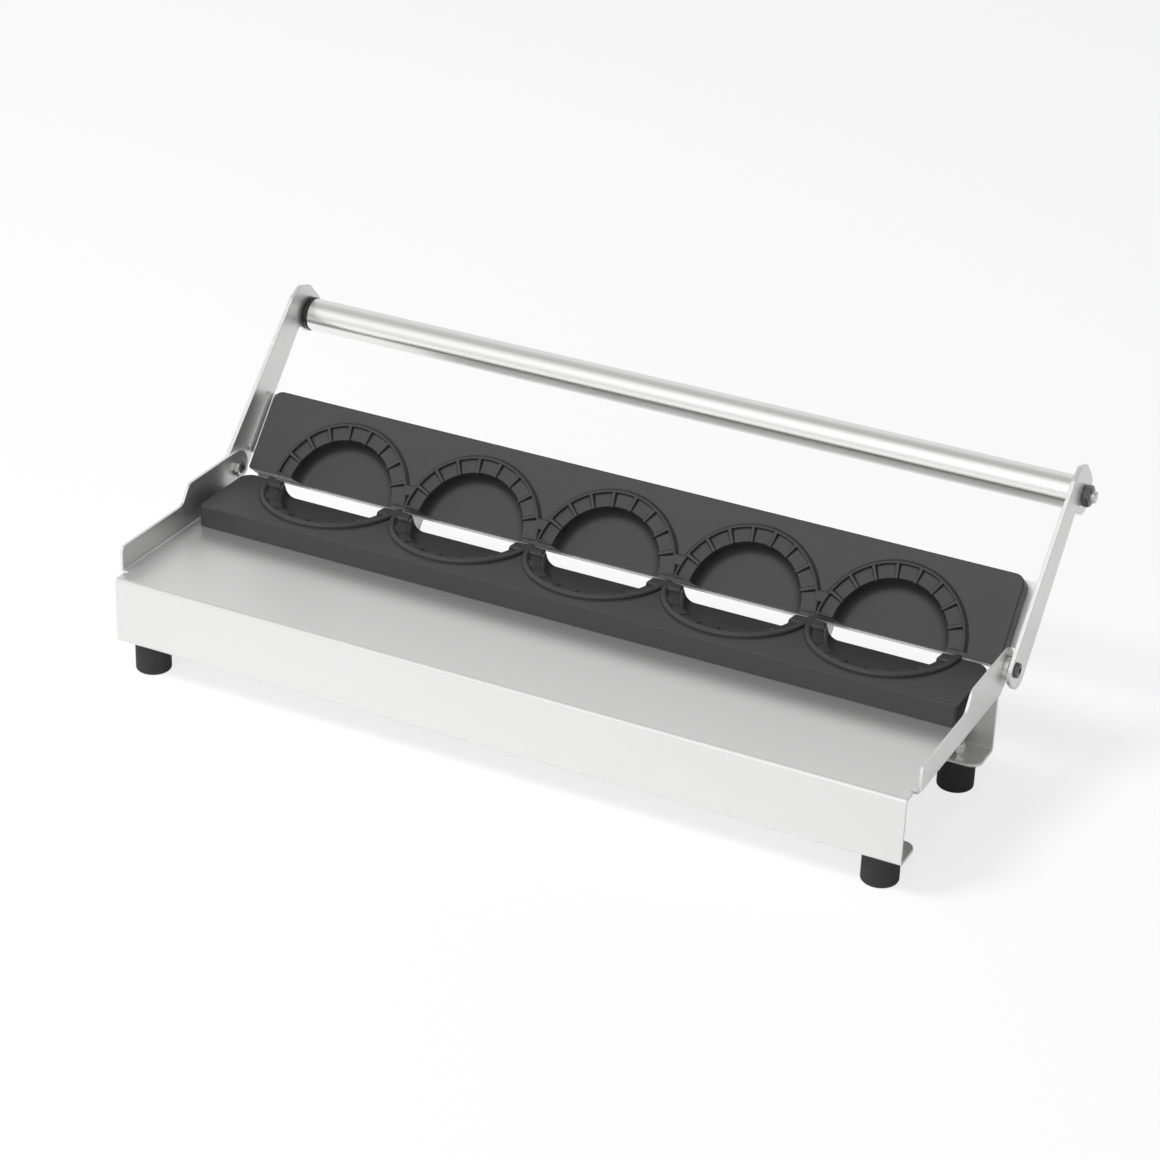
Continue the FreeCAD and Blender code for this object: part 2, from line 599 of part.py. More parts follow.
def tube_half():
    return ARM_INNER_X - BUSH_AXIAL_CLEAR - BUSH_FLANGE_T


def handle_tube():
    y, z = HANDLE_ALONG, -HANDLE_BACK
    half = tube_half()
    return leaned(rod_x(-half, half, y, z, TUBE_R).cut(rod_x(-half - 1, half + 1, y, z, TUBE_R - TUBE_WALL)))


def handle_bush(side):
    """End bush: a collar outside the tube and a spigot inside it, turning on the rod."""
    bore = ROD_R + RUN_CLEAR
    length = BUSH_SPIGOT_LEN + BUSH_FLANGE_T
    section = [(bore, 0, 0), (TUBE_R - TUBE_WALL, 0, 0), (TUBE_R - TUBE_WALL, BUSH_SPIGOT_LEN, 0),
               (BUSH_FLANGE_R, BUSH_SPIGOT_LEN, 0), (BUSH_FLANGE_R, length, BUSH_EDGE_R), (bore, length, 0)]
    start = tube_half() - BUSH_SPIGOT_LEN
    return leaned(laid_on_x(turned(section), side * start, HANDLE_ALONG, -HANDLE_BACK, side))


def die_fasteners():
    """Screw and washer groups of both dies."""
    screw, washer = die_screw(), flat_washer()
    kinds = ("lower_die_screws", "lower_die_washers", "upper_die_screws", "upper_die_washers")
    groups = {kind: [] for kind in kinds}
    under = TABLE_Z - SHEET - WASHER_T
    behind = -(UPPER_FACE_BACK + UPPER_DIE_T + PLATE_T) - WASHER_T
    for x in (-DIE_SCREW_X, DIE_SCREW_X):
        for y in LOWER_SCREW_YS:
            groups["lower_die_screws"].append(moved(screw, x, y, under))
            groups["lower_die_washers"].append(moved(washer, x, y, under))
        for along in UPPER_SCREW_ALONGS:
            groups["upper_die_screws"].append(leaned(moved(screw, x, along, behind)))
            groups["upper_die_washers"].append(leaned(moved(washer, x, along, behind)))
    return {name: Part.makeCompound(shapes) for name, shapes in groups.items()}


def build_nodes():
    """All nodes in the frame whose Y starts at the front apron."""
    nodes = {"base_tray": make_base_tray(), "lower_die": make_lower_die()}
    nodes.update(die_fasteners())
    screws, washers, nuts = [], [], []
    for name, x, y in foot_places():
        nodes[name] = make_foot(x, y)
        screws.append(make_foot_screw(x, y))
        washers.append(make_foot_washer(x, y))
        nuts.append(make_dome_nut(x, y))
    nodes["foot_screws"] = Part.makeCompound(screws)
    nodes["foot_washers"] = Part.makeCompound(washers)
    nodes["foot_dome_nuts"] = Part.makeCompound(nuts)
    nodes["lid_back_plate"] = back_plate()
    nodes["upper_die"] = upper_die()
    nodes["tie_rod"] = tie_rod()
    nodes["handle_tube"] = handle_tube()
    for name, side in SIDES.items():
        nodes[f"pivot_screw_{name}"] = pivot_screw(side)
        nodes[f"pivot_washer_{name}"] = pivot_washer(side)
        nodes[f"pivot_nut_{name}"] = pivot_nut(side)
        nodes[f"arm_{name}"] = arm(side)
        nodes[f"tie_rod_nut_{name}"] = rod_nut(side)
        nodes[f"handle_bush_{name}"] = handle_bush(side)
    return nodes


def centre_shift(nodes):
    """Y travel that puts the middle of the depth on the origin."""
    extent = nodes["arm_right"].optimalBoundingBox(False, False)
    return -extent.YMax / 2


def main():
    os.makedirs("parts", exist_ok=True)
    nodes = build_nodes()
    shift = centre_shift(nodes)
    for name, shape in nodes.items():
        placed = moved(shape, y=shift)
        placed.exportStep(f"parts/{name}.step")
        kind = "ok" if placed.isValid() else "INVALID"
        print(f"{name}: {len(placed.Solids)} solid(s), {placed.Volume / 1000:.2f} cm3, {kind}")
    print(f"shift {shift:.4f}")


if __name__ == "__main__":
    main()
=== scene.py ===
"""Looks of a five-mould hand dumpling press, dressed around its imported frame.

Shapes are drawn in millimetres from the front apron's face and the floor, then set in the shared frame
in metres.
"""

from __future__ import annotations

import json
import logging
import math
from dataclasses import dataclass
from enum import Enum
from typing import Any, Callable, Sequence

import bmesh
import bpy
from mathutils import Matrix, Vector
from mathutils.geometry import tessellate_polygon

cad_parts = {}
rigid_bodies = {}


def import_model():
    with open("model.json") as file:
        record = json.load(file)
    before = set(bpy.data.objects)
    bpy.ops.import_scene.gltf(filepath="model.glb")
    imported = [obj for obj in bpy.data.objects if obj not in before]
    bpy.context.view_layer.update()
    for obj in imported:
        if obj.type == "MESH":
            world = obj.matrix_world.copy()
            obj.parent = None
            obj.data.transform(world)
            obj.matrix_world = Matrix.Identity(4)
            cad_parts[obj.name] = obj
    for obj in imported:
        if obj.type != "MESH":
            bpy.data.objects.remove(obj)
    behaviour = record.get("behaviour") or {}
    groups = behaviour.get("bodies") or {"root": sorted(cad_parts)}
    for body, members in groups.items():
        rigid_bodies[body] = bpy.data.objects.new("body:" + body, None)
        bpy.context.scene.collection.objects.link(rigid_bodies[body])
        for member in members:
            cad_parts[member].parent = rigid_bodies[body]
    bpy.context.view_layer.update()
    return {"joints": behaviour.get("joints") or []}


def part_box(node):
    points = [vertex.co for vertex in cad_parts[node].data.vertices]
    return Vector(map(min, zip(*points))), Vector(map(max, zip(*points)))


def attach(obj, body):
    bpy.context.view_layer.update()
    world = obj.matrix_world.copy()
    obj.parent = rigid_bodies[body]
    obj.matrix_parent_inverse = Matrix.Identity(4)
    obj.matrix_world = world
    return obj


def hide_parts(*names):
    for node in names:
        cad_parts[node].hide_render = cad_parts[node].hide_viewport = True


for leftover in list(bpy.data.objects):
    bpy.data.objects.remove(leftover)
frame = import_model()

LOG = logging.getLogger("dumpling_press")
MM = 0.001
WELD = 1e-6
SHARP_ANGLE = math.radians(32)
ROUND_STEPS = 6
TURN_STEPS = 60
SMALL_STEPS = 36
CROSS_STEPS = 72
WASHER_EDGE = 0.2
QUARTER = math.pi / 2
FLAT = "flat"

Corner = tuple[float, float, float]
Spot = tuple[float, float]
Spot3 = tuple[float, float, float]


class Side(Enum):
    """The two ends of the press, seen by its user."""

    LEFT = -1
    RIGHT = 1

    @property
    def word(self) -> str:
        """Name of the side as the frame writes it."""
        return self.name.lower()


class Section(Enum):
    """Outline of one ring of a turned piece."""

    ROUND = "round"
    HEX = "hex"
    CROSS = "cross"


def rounded(corners: Sequence[Corner], closed: bool = True, steps: int = ROUND_STEPS) -> list[Spot]:
    """Turns corners with radii into a dense line.

    Args:
        corners: Each corner's two coordinates and its radius.
        closed: Whether the line returns to its start.
        steps: Straight steps on each rounding.

    Returns:
        The points of the line in order.
    """
    line: list[Spot] = []
    count = len(corners)
    for i, (u, v, radius) in enumerate(corners):
        if radius <= 0 or (not closed and i in (0, count - 1)):
            line.append((u, v))
            continue
        here = Vector((u, v))
        back = (Vector(corners[i - 1][:2]) - here).normalized()
        ahead = (Vector(corners[(i + 1) % count][:2]) - here).normalized()
        half = math.acos(max(-1.0, min(1.0, back.dot(ahead)))) / 2
        middle = here + (back + ahead).normalized() * (radius / math.sin(half))
        start = here + back * (radius / math.tan(half)) - middle
        end = here + ahead * (radius / math.tan(half)) - middle
        first = math.atan2(start.y, start.x)
        sweep = math.remainder(math.atan2(end.y, end.x) - first, math.tau)
        for k in range(steps + 1):
            angle = first + sweep * k / steps
            line.append((middle.x + radius * math.cos(angle), middle.y + radius * math.sin(angle)))
    return line


def circle(u: float, v: float, radius: float, steps: int = 32) -> list[Spot]:
    """Points of a circle, anticlockwise."""
    angles = [math.tau * k / steps for k in range(steps)]
    return [(u + radius * math.cos(a), v + radius * math.sin(a)) for a in angles]


def drawn_in(loop: Sequence[Spot], by: float) -> list[Spot]:
    """Moves an anticlockwise loop inwards, or outwards for a negative distance."""
    moved: list[Spot] = []
    count = len(loop)
    for i, spot in enumerate(loop):
        here = Vector(spot)
        before = (here - Vector(loop[i - 1])).normalized()
        after = (Vector(loop[(i + 1) % count]) - here).normalized()
        first = Vector((-before.y, before.x))
        second = Vector((-after.y, after.x))
        shift = (first + second) * (by / max(0.2, 1 + first.dot(second)))
        moved.append((here.x + shift.x, here.y + shift.y))
    return moved


@dataclass(frozen=True)
class Ring:
    """One ring of a turned piece: its height, its largest radius and its outline.

    The size is a hexagon's width across flats, or a cross recess's width with the radius as its reach.
    """

    z: float
    radius: float
    section: Section = Section.ROUND
    size: float = 0.0

    def reach(self, angle: float) -> float:
        """Distance from the axis to the outline at an angle."""
        if self.section is Section.HEX:
            off = math.remainder(angle, math.tau / 6)
            return min(self.radius, self.size / 2 / math.cos(off))
        if self.section is Section.CROSS:
            off = abs(math.remainder(angle, QUARTER))
            return min(self.radius, self.size / 2 / max(math.sin(off), self.size / 2 / self.radius))
        return self.radius


class Solid:
    """Points and faces that grow into one closed mesh."""

    def __init__(self) -> None:
        """Starts with nothing."""
        self.points: list[Vector] = []
        self.faces: list[list[int]] = []
        self.known: dict[tuple[int, int, int], int] = {}

    def point(self, x: float, y: float, z: float) -> int:
        """Returns the number of the point here, and adds it if it is new."""
        key = (round(x / MM), round(y / MM), round(z / MM))
        if key not in self.known:
            self.known[key] = len(self.points)
            self.points.append(Vector((x, y, z)))
        return self.known[key]

    def face(self, corners: Sequence[int]) -> None:
        """Adds a face, without corners that repeat."""
        ring = [corner for i, corner in enumerate(corners) if corner != corners[i - 1]]
        if len(ring) > 2:
            self.faces.append(ring)

    def bridge(self, first: Sequence[int], second: Sequence[int], closed: bool = True) -> None:
        """Joins two rows of points with four-sided faces."""
        count = len(first)
        for i in range(count if closed else count - 1):
            j = (i + 1) % count
            self.face((first[i], first[j], second[j], second[i]))

    def turn(self, rings: Sequence[Ring], closed: bool = False, steps: int = TURN_STEPS) -> "Solid":
        """Adds a piece turned about Z.

        Args:
            rings: Its rings in order, from one end on the axis to the other, or round a bore.
            closed: Whether the last ring joins the first.
            steps: Faces round the axis, a multiple of 12.

        Returns:
            This solid.
        """
        angles = [math.tau * k / steps for k in range(steps)]
        rows = []
        for ring in rings:
            spots = [(ring.reach(a) * math.cos(a), ring.reach(a) * math.sin(a)) for a in angles]
            rows.append([self.point(u, v, ring.z) for u, v in spots])
        for i in range(len(rows) if closed else len(rows) - 1):
            self.bridge(rows[i], rows[(i + 1) % len(rows)])
        return self

    def plate(self, outline: Sequence[Spot], holes: Sequence[Sequence[Spot]], low: float, high: float,
              edge: float) -> "Solid":
        """Adds a flat plate with softened edges.

        Args:
            outline: Outer loop, anticlockwise.
            holes: Loops of the holes, anticlockwise.
            low: Height of one face.
            high: Height of the other face.
            edge: Radius of every edge.

        Returns:
            This solid.
        """
        turns = [QUARTER * k / 3 for k in range(4)]
        levels = [(edge * (1 - math.cos(a)), high - edge * (1 - math.sin(a))) for a in turns]
        levels = [(inset, low + high - w) for inset, w in reversed(levels)] + levels
        loops = [(outline, 1)] + [(hole, -1) for hole in holes]
        lowest: list[int] = []
        highest: list[int] = []
        face_loops = []
        for loop, sign in loops:
            rows = []
            for inset, w in levels:
                rows.append([self.point(u, v, w) for u, v in drawn_in(loop, sign * inset)])
            for first, second in zip(rows, rows[1:]):
                self.bridge(first, second)
            lowest += rows[0]
            highest += rows[-1]
            face_loops.append([Vector((u, v, 0)) for u, v in drawn_in(loop, sign * edge)])
        for corners in tessellate_polygon(face_loops):
            self.face([lowest[c] for c in corners])
            self.face([highest[c] for c in corners])
        return self

    def shape(self) -> bmesh.types.BMesh:
        """Returns the faces as an editable mesh, which remembers where each point lay in the flat."""
        grown = bmesh.new()
        layer = grown.verts.layers.float_vector.new(FLAT)
        corners = []
        for place in self.points:
            corner = grown.verts.new(place)
            corner[layer] = place * MM
            corners.append(corner)
        for ring in self.faces:
            grown.faces.new([corners[i] for i in ring])
        return grown


def as_mesh(name: str, grown: bmesh.types.BMesh, place: Matrix) -> bpy.types.Mesh:
    """Closes an editable mesh and sets it in its place.

    Args:
        name: Name of the mesh.
        grown: The editable mesh, which is used up.
        place: Matrix from its own millimetres to the frame's metres.

    Returns:
        The mesh, with its normals pointing outwards.
    """
    bmesh.ops.transform(grown, matrix=place, verts=grown.verts)
    bmesh.ops.remove_doubles(grown, verts=grown.verts, dist=WELD)
    bmesh.ops.recalc_face_normals(grown, faces=grown.faces)
    mesh = bpy.data.meshes.new(name)
    grown.to_mesh(mesh)
    grown.free()
    mesh.shade_smooth()
    mesh.set_sharp_from_angle(angle=SHARP_ANGLE)
    return mesh


class Wire:
    """An output socket that takes part in Python expressions on values."""

    def __init__(self, graph: "Graph", socket: bpy.types.NodeSocket) -> None:
        """Remembers the graph and the socket."""
        self.graph = graph
        self.socket = socket

    def math(self, operation: str, first: Any, second: Any) -> "Wire":
        """Adds one Math node."""
        return self.graph.node("ShaderNodeMath", {"operation": operation}, {0: first, 1: second})["Value"]

    def __add__(self, other: Any) -> "Wire":
        """Sum."""
        return self.math("ADD", self, other)

    __radd__ = __add__

    def __sub__(self, other: Any) -> "Wire":
        """Difference."""
        return self.math("SUBTRACT", self, other)

    def __rsub__(self, other: Any) -> "Wire":
        """Difference from a plain number."""
        return self.math("SUBTRACT", other, self)

    def __mul__(self, other: Any) -> "Wire":
        """Product."""
        return self.math("MULTIPLY", self, other)

    __rmul__ = __mul__

    def __truediv__(self, other: Any) -> "Wire":
        """Quotient."""
        return self.math("DIVIDE", self, other)

    def __rtruediv__(self, other: Any) -> "Wire":
        """Quotient of a plain number."""
        return self.math("DIVIDE", other, self)

    def at_most(self, other: Any) -> "Wire":
        """The smaller of two values."""
        return self.math("MINIMUM", self, other)

    def at_least(self, other: Any) -> "Wire":
        """The larger of two values."""
        return self.math("MAXIMUM", self, other)


class Made:
    """A node that was just added, whose outputs are read by name or number."""

    def __init__(self, graph: "Graph", node: bpy.types.Node) -> None:
        """Remembers the graph and the node."""
        self.graph = graph
        self.node = node

    def __getitem__(self, key: str | int) -> Wire:
        """One output."""
        return Wire(self.graph, self.node.outputs[key])


class Graph:
    """A node tree of either kind, filled by one method."""

    def __init__(self, tree: bpy.types.NodeTree) -> None:
        """Remembers the tree."""
        self.tree = tree

    def node(self, kind: str, settings: dict[str, Any] | None = None,
             inputs: dict[str | int, Any] | None = None) -> Made:
        """Adds a node.

        Args:
            kind: Type of the node.
            settings: Its own properties, which are set first.
            inputs: Values or wires for its sockets.

        Returns:
            The node.
        """
        node = self.tree.nodes.new(kind)
        for key, value in (settings or {}).items():
            setattr(node, key, value)
        for key, value in (inputs or {}).items():
            if isinstance(value, Wire):
                self.tree.links.new(value.socket, node.inputs[key])
            else:
                node.inputs[key].default_value = value
        return Made(self, node)

    def noise(self, vector: Wire, stretch: Spot3, detail: float = 2.0) -> Wire:
        """Noise of 0 to 1 on a vector, with its own number of cycles for each direction."""
        spread = self.node("ShaderNodeVectorMath", {"operation": "MULTIPLY"},
                           {0: vector, 1: stretch})["Vector"]
        inputs = {"Vector": spread, "Scale": 1.0, "Detail": detail}
        return self.node("ShaderNodeTexNoise", None, inputs)["Fac"]

    def blend(self, factor: Wire, first: Sequence[float], second: Sequence[float]) -> Wire:
        """Colour between two colours."""
        colours = {0: factor, 6: (*first, 1.0), 7: (*second, 1.0)}
        return self.node("ShaderNodeMix", {"data_type": "RGBA"}, colours)[2]

    def bump(self, height: Wire, distance: float, strength: float) -> Wire:
        """Normal of a surface that carries small heights."""
        return self.node("ShaderNodeBump", None,
                         {"Height": height, "Distance": distance, "Strength": strength})["Normal"]


def grey(level: float, warmth: float = 0.0) -> Spot3:
    """A grey, a little warm for a positive warmth."""
    return (level * (1 + warmth), level, level * (1 - warmth))


class Finish:
    """What a slot of the record is made of."""

    name: str

    def inputs(self, graph: Graph) -> dict[str, Any]:
        """Inputs of the shader, from each kind of finish."""
        raise NotImplementedError

    def material(self) -> bpy.types.Material:
        """Makes the material of one shader."""
        material = bpy.data.materials.new(self.name)
        material.use_nodes = True
        material.node_tree.nodes.clear()
        graph = Graph(material.node_tree)
        shader = graph.node("ShaderNodeBsdfPrincipled", None, self.inputs(graph))["BSDF"]
        graph.node("ShaderNodeOutputMaterial", None, {"Surface": shader})
        return material


@dataclass(frozen=True)
class SheetSteel(Finish):
    """Stainless steel with fine brushing along one direction of the flat piece."""

    name: str
    level: float
    roughness: float
    streaks: Spot3
    contrast: float = 0.025
    depth: float = 0.00002
    relief: float = 0.16
    metal: float = 0.85
    coarse: float = 6.0
    fine_share: float = 0.6
    clouds: Spot3 = (9.0, 9.0, 9.0)
    warm_low: float = 0.006
    warm_high: float = 0.002
    grain_rough: float = 0.12
    cloud_rough: float = 0.06

    def inputs(self, graph: Graph) -> dict[str, Any]:
        """Inputs of the shader."""
        flat = graph.node("ShaderNodeAttribute", {"attribute_name": FLAT})["Vector"]
        fine = graph.noise(flat, self.streaks, 3.0)
        broad = graph.noise(flat, tuple(s / self.coarse for s in self.streaks), 2.0)
        cloud = graph.noise(flat, self.clouds)
        grain = fine * self.fine_share + broad * (1 - self.fine_share)
        low = grey(self.level * (1 - self.contrast), self.warm_low)
        high = grey(min(1.0, self.level * (1 + self.contrast)), self.warm_high)
        rough = self.roughness + (grain - 0.5) * self.grain_rough + (cloud - 0.5) * self.cloud_rough
        return {"Base Color": graph.blend(grain, low, high), "Metallic": self.metal, "Roughness": rough,
                "Normal": graph.bump(grain, self.depth, self.relief)}


@dataclass(frozen=True)
class MouldedPlastic(Finish):
    """Satin moulded plastic with a fine grain."""

    name: str
    level: float
    roughness: float
    sheen: float = 0.65
    grain: float = 1400.0
    depth: float = 0.00004
    relief: float = 0.5
    flow: Spot3 = (26.0, 60.0, 60.0)
    swing: float = 0.14
    flow_rough: float = 0.12
    grain_rough: float = 0.10

    def inputs(self, graph: Graph) -> dict[str, Any]:
        """Inputs of the shader."""
        place = graph.node("ShaderNodeTexCoord")["Object"]
        fine = graph.noise(place, (self.grain,) * 3, 2.0)
        flow = graph.noise(place, self.flow, 3.0)
        colour = graph.blend(flow, grey(self.level * (1 - self.swing)), grey(self.level * (1 + self.swing)))
        rough = self.roughness + (flow - 0.5) * self.flow_rough + (fine - 0.5) * self.grain_rough
        return {"Base Color": colour, "Roughness": rough, "Specular IOR Level": self.sheen,
                "Normal": graph.bump(fine, self.depth, self.relief)}


@dataclass(frozen=True)
class FootRubber(Finish):
    """Matt rubber with a dusty bloom."""

    name: str
    level: float
    roughness: float
    grain: Spot3 = (900.0, 900.0, 900.0)
    bloom: Spot3 = (70.0, 70.0, 120.0)
    dark: float = 0.8
    pale: float = 1.3
    grain_rough: float = 0.15
    depth: float = 0.00006
    relief: float = 0.5

    def inputs(self, graph: Graph) -> dict[str, Any]:
        """Inputs of the shader."""
        place = graph.node("ShaderNodeTexCoord")["Object"]
        grain = graph.noise(place, self.grain)
        bloom = graph.noise(place, self.bloom, 3.0)
        colour = graph.blend(bloom, grey(self.level * self.dark), grey(self.level * self.pale))
        rough = self.roughness + (grain - 0.5) * self.grain_rough
        return {"Base Color": colour, "Roughness": rough,
                "Normal": graph.bump(grain, self.depth, self.relief)}


@dataclass(frozen=True)
class FastenerMetal(Finish):
    """Turned and plated metal of screws, nuts and washers."""

    name: str
    level: float
    roughness: float
    warmth: float = 0.0
    grain: Spot3 = (700.0, 700.0, 700.0)
    patches: Spot3 = (160.0, 160.0, 160.0)
    dark: float = 0.85
    pale: float = 1.1
    patch_rough: float = 0.16
    grain_rough: float = 0.08
    depth: float = 0.00002
    relief: float = 0.4

    def inputs(self, graph: Graph) -> dict[str, Any]:
        """Inputs of the shader."""
        place = graph.node("ShaderNodeTexCoord")["Object"]
        grain = graph.noise(place, self.grain, 3.0)
        patch = graph.noise(place, self.patches)
        low = grey(self.level * self.dark, self.warmth)
        high = grey(self.level * self.pale, self.warmth)
        colour = graph.blend(patch, low, high)
        rough = self.roughness + (patch - 0.5) * self.patch_rough + (grain - 0.5) * self.grain_rough
        return {"Base Color": colour, "Metallic": 1.0, "Roughness": rough,
                "Normal": graph.bump(grain, self.depth, self.relief)}


FINISHES = {
    "stainless": SheetSteel("brushed_sheet", 0.82, 0.36, (14.0, 2600.0, 2600.0)),
    "stainless_tube": SheetSteel("drawn_tube", 0.90, 0.26, (2200.0, 2200.0, 10.0), 0.02, metal=1.0),
    "mould_plastic": MouldedPlastic("satin_mould_plastic", 0.031, 0.44),
    "bush_plastic": MouldedPlastic("bush_plastic", 0.022, 0.42),
    "foot_rubber": FootRubber("foot_rubber", 0.020, 0.72),
    "bright_fastener": FastenerMetal("zinc_plate", 0.66, 0.28, 0.01),
    "dark_fastener": FastenerMetal("blackened_steel", 0.15, 0.34),
}


@dataclass(frozen=True)
class Layout:
    """Where the press stands in the shared frame, and how its lid leans open."""

    front: float
    pivot_y: float
    pivot_z: float
    handle_along: float
    handle_back: float
    lean: float = math.radians(50)

    @classmethod
    def from_frame(cls) -> "Layout":
        """Reads the front face from the base tray and the two axes from the joints."""
        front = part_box("base_tray")[0].y
        axes = {joint["name"]: joint["pos_m"] for joint in frame["joints"]}
        hinge, grip = axes["lid_hinge"], axes["grip_roll"]
        rise, run = (grip[2] - hinge[2]) / MM, (grip[1] - hinge[1]) / MM
        cosine, sine = math.cos(cls.lean), math.sin(cls.lean)
        return cls(front, (hinge[1] - front) / MM, hinge[2] / MM, run * cosine + rise * sine,
                   run * sine - rise * cosine)

    def base(self) -> Matrix:
        """From millimetres behind the front apron to the frame."""
        return Matrix.Translation((0, self.front, 0)) @ Matrix.Scale(MM, 4)

    def lid(self) -> Matrix:
        """From the lid's own directions to the frame: across, along the arms, and out of the moulds."""
        hinge = Matrix.Translation((0, self.pivot_y, self.pivot_z))
        return self.base() @ hinge @ Matrix.Rotation(self.lean, 4, "X")

    def pivot_end(self, side: Side, x: float, inwards: bool = False) -> Matrix:
        """From a piece turned about Z to the hinge axis at a distance from the middle."""
        turn = -side.value if inwards else side.value
        place = Matrix.Translation((side.value * x, self.pivot_y, self.pivot_z))
        return self.base() @ place @ Matrix.Rotation(turn * QUARTER, 4, "Y")

    def handle_end(self, side: Side, x: float) -> Matrix:
        """From a piece turned about Z to the handle's axis at a distance from the middle."""
        place = Matrix.Translation((side.value * x, self.handle_along, -self.handle_back))
        return self.lid() @ place @ Matrix.Rotation(side.value * QUARTER, 4, "Y")


class Bench:
    """Where finished meshes become named pieces that ride on the frame."""

    def __init__(self) -> None:
        """Makes every finish once."""
        self.layout = Layout.from_frame()
        self.finishes = {slot: finish.material() for slot, finish in FINISHES.items()}

    def piece(self, mesh: bpy.types.Mesh, slot: str, body: str, *nodes: str) -> bpy.types.Object:
        """Adds a piece.

        Args:
            mesh: Its mesh, in place. The piece takes the mesh's name.
            slot: The record's material slot.
            body: The body that it rides on.
            nodes: The frame's nodes that it stands for.

        Returns:
            The piece.
        """
        if not mesh.materials:
            mesh.materials.append(self.finishes[slot])
        made = bpy.data.objects.new(mesh.name, mesh)
        bpy.context.scene.collection.objects.link(made)
        steady = made.modifiers.new("steady_faces", "WEIGHTED_NORMAL")
        steady.keep_sharp = True
        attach(made, body)
        if nodes:
            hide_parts(*nodes)
        LOG.info("%s: %d faces on %s", made.name, len(mesh.polygons), body)
        return made

    def turned(self, name: str, rings: Sequence[Ring], place: Matrix, closed: bool = False) -> bpy.types.Mesh:
        """Mesh of one turned piece."""
        return as_mesh(name, Solid().turn(rings, closed).shape(), place)

    def repeated(self, name: str, solid: Solid, pattern: "Pattern", values: dict[str, Any], slot: str,
                 place: Matrix) -> bpy.types.Mesh:
        """Repeats a small shape by a pattern.

        Args:
            name: Name of the mesh.
            solid: The shape, in millimetres.
            pattern: The pattern's node tree.
            values: The pattern's named sizes.
            slot: Material slot whose finish the copies take.
            place: Matrix from millimetres to the frame.

        Returns:
            One plain mesh of all the copies.
        """
        seed = as_mesh(name + "_one", solid.shape(), Matrix.Identity(4))
        holder = bpy.data.objects.new(name + "_seed", seed)
        bpy.context.scene.collection.objects.link(holder)
        modifier = holder.modifiers.new("repeat", "NODES")
        modifier.node_group = pattern.tree
        for key, value in {**values, "Finish": self.finishes[slot]}.items():
            modifier[pattern.sockets[key]] = value
        evaluated = holder.evaluated_get(bpy.context.evaluated_depsgraph_get())
        mesh = bpy.data.meshes.new_from_object(evaluated)
        holder.modifiers.remove(modifier)
        bpy.data.objects.remove(holder)
        bpy.data.meshes.remove(seed)
        mesh.name = name
        mesh.transform(place)
        mesh.update()
        mesh.set_sharp_from_angle(angle=SHARP_ANGLE)
        return mesh


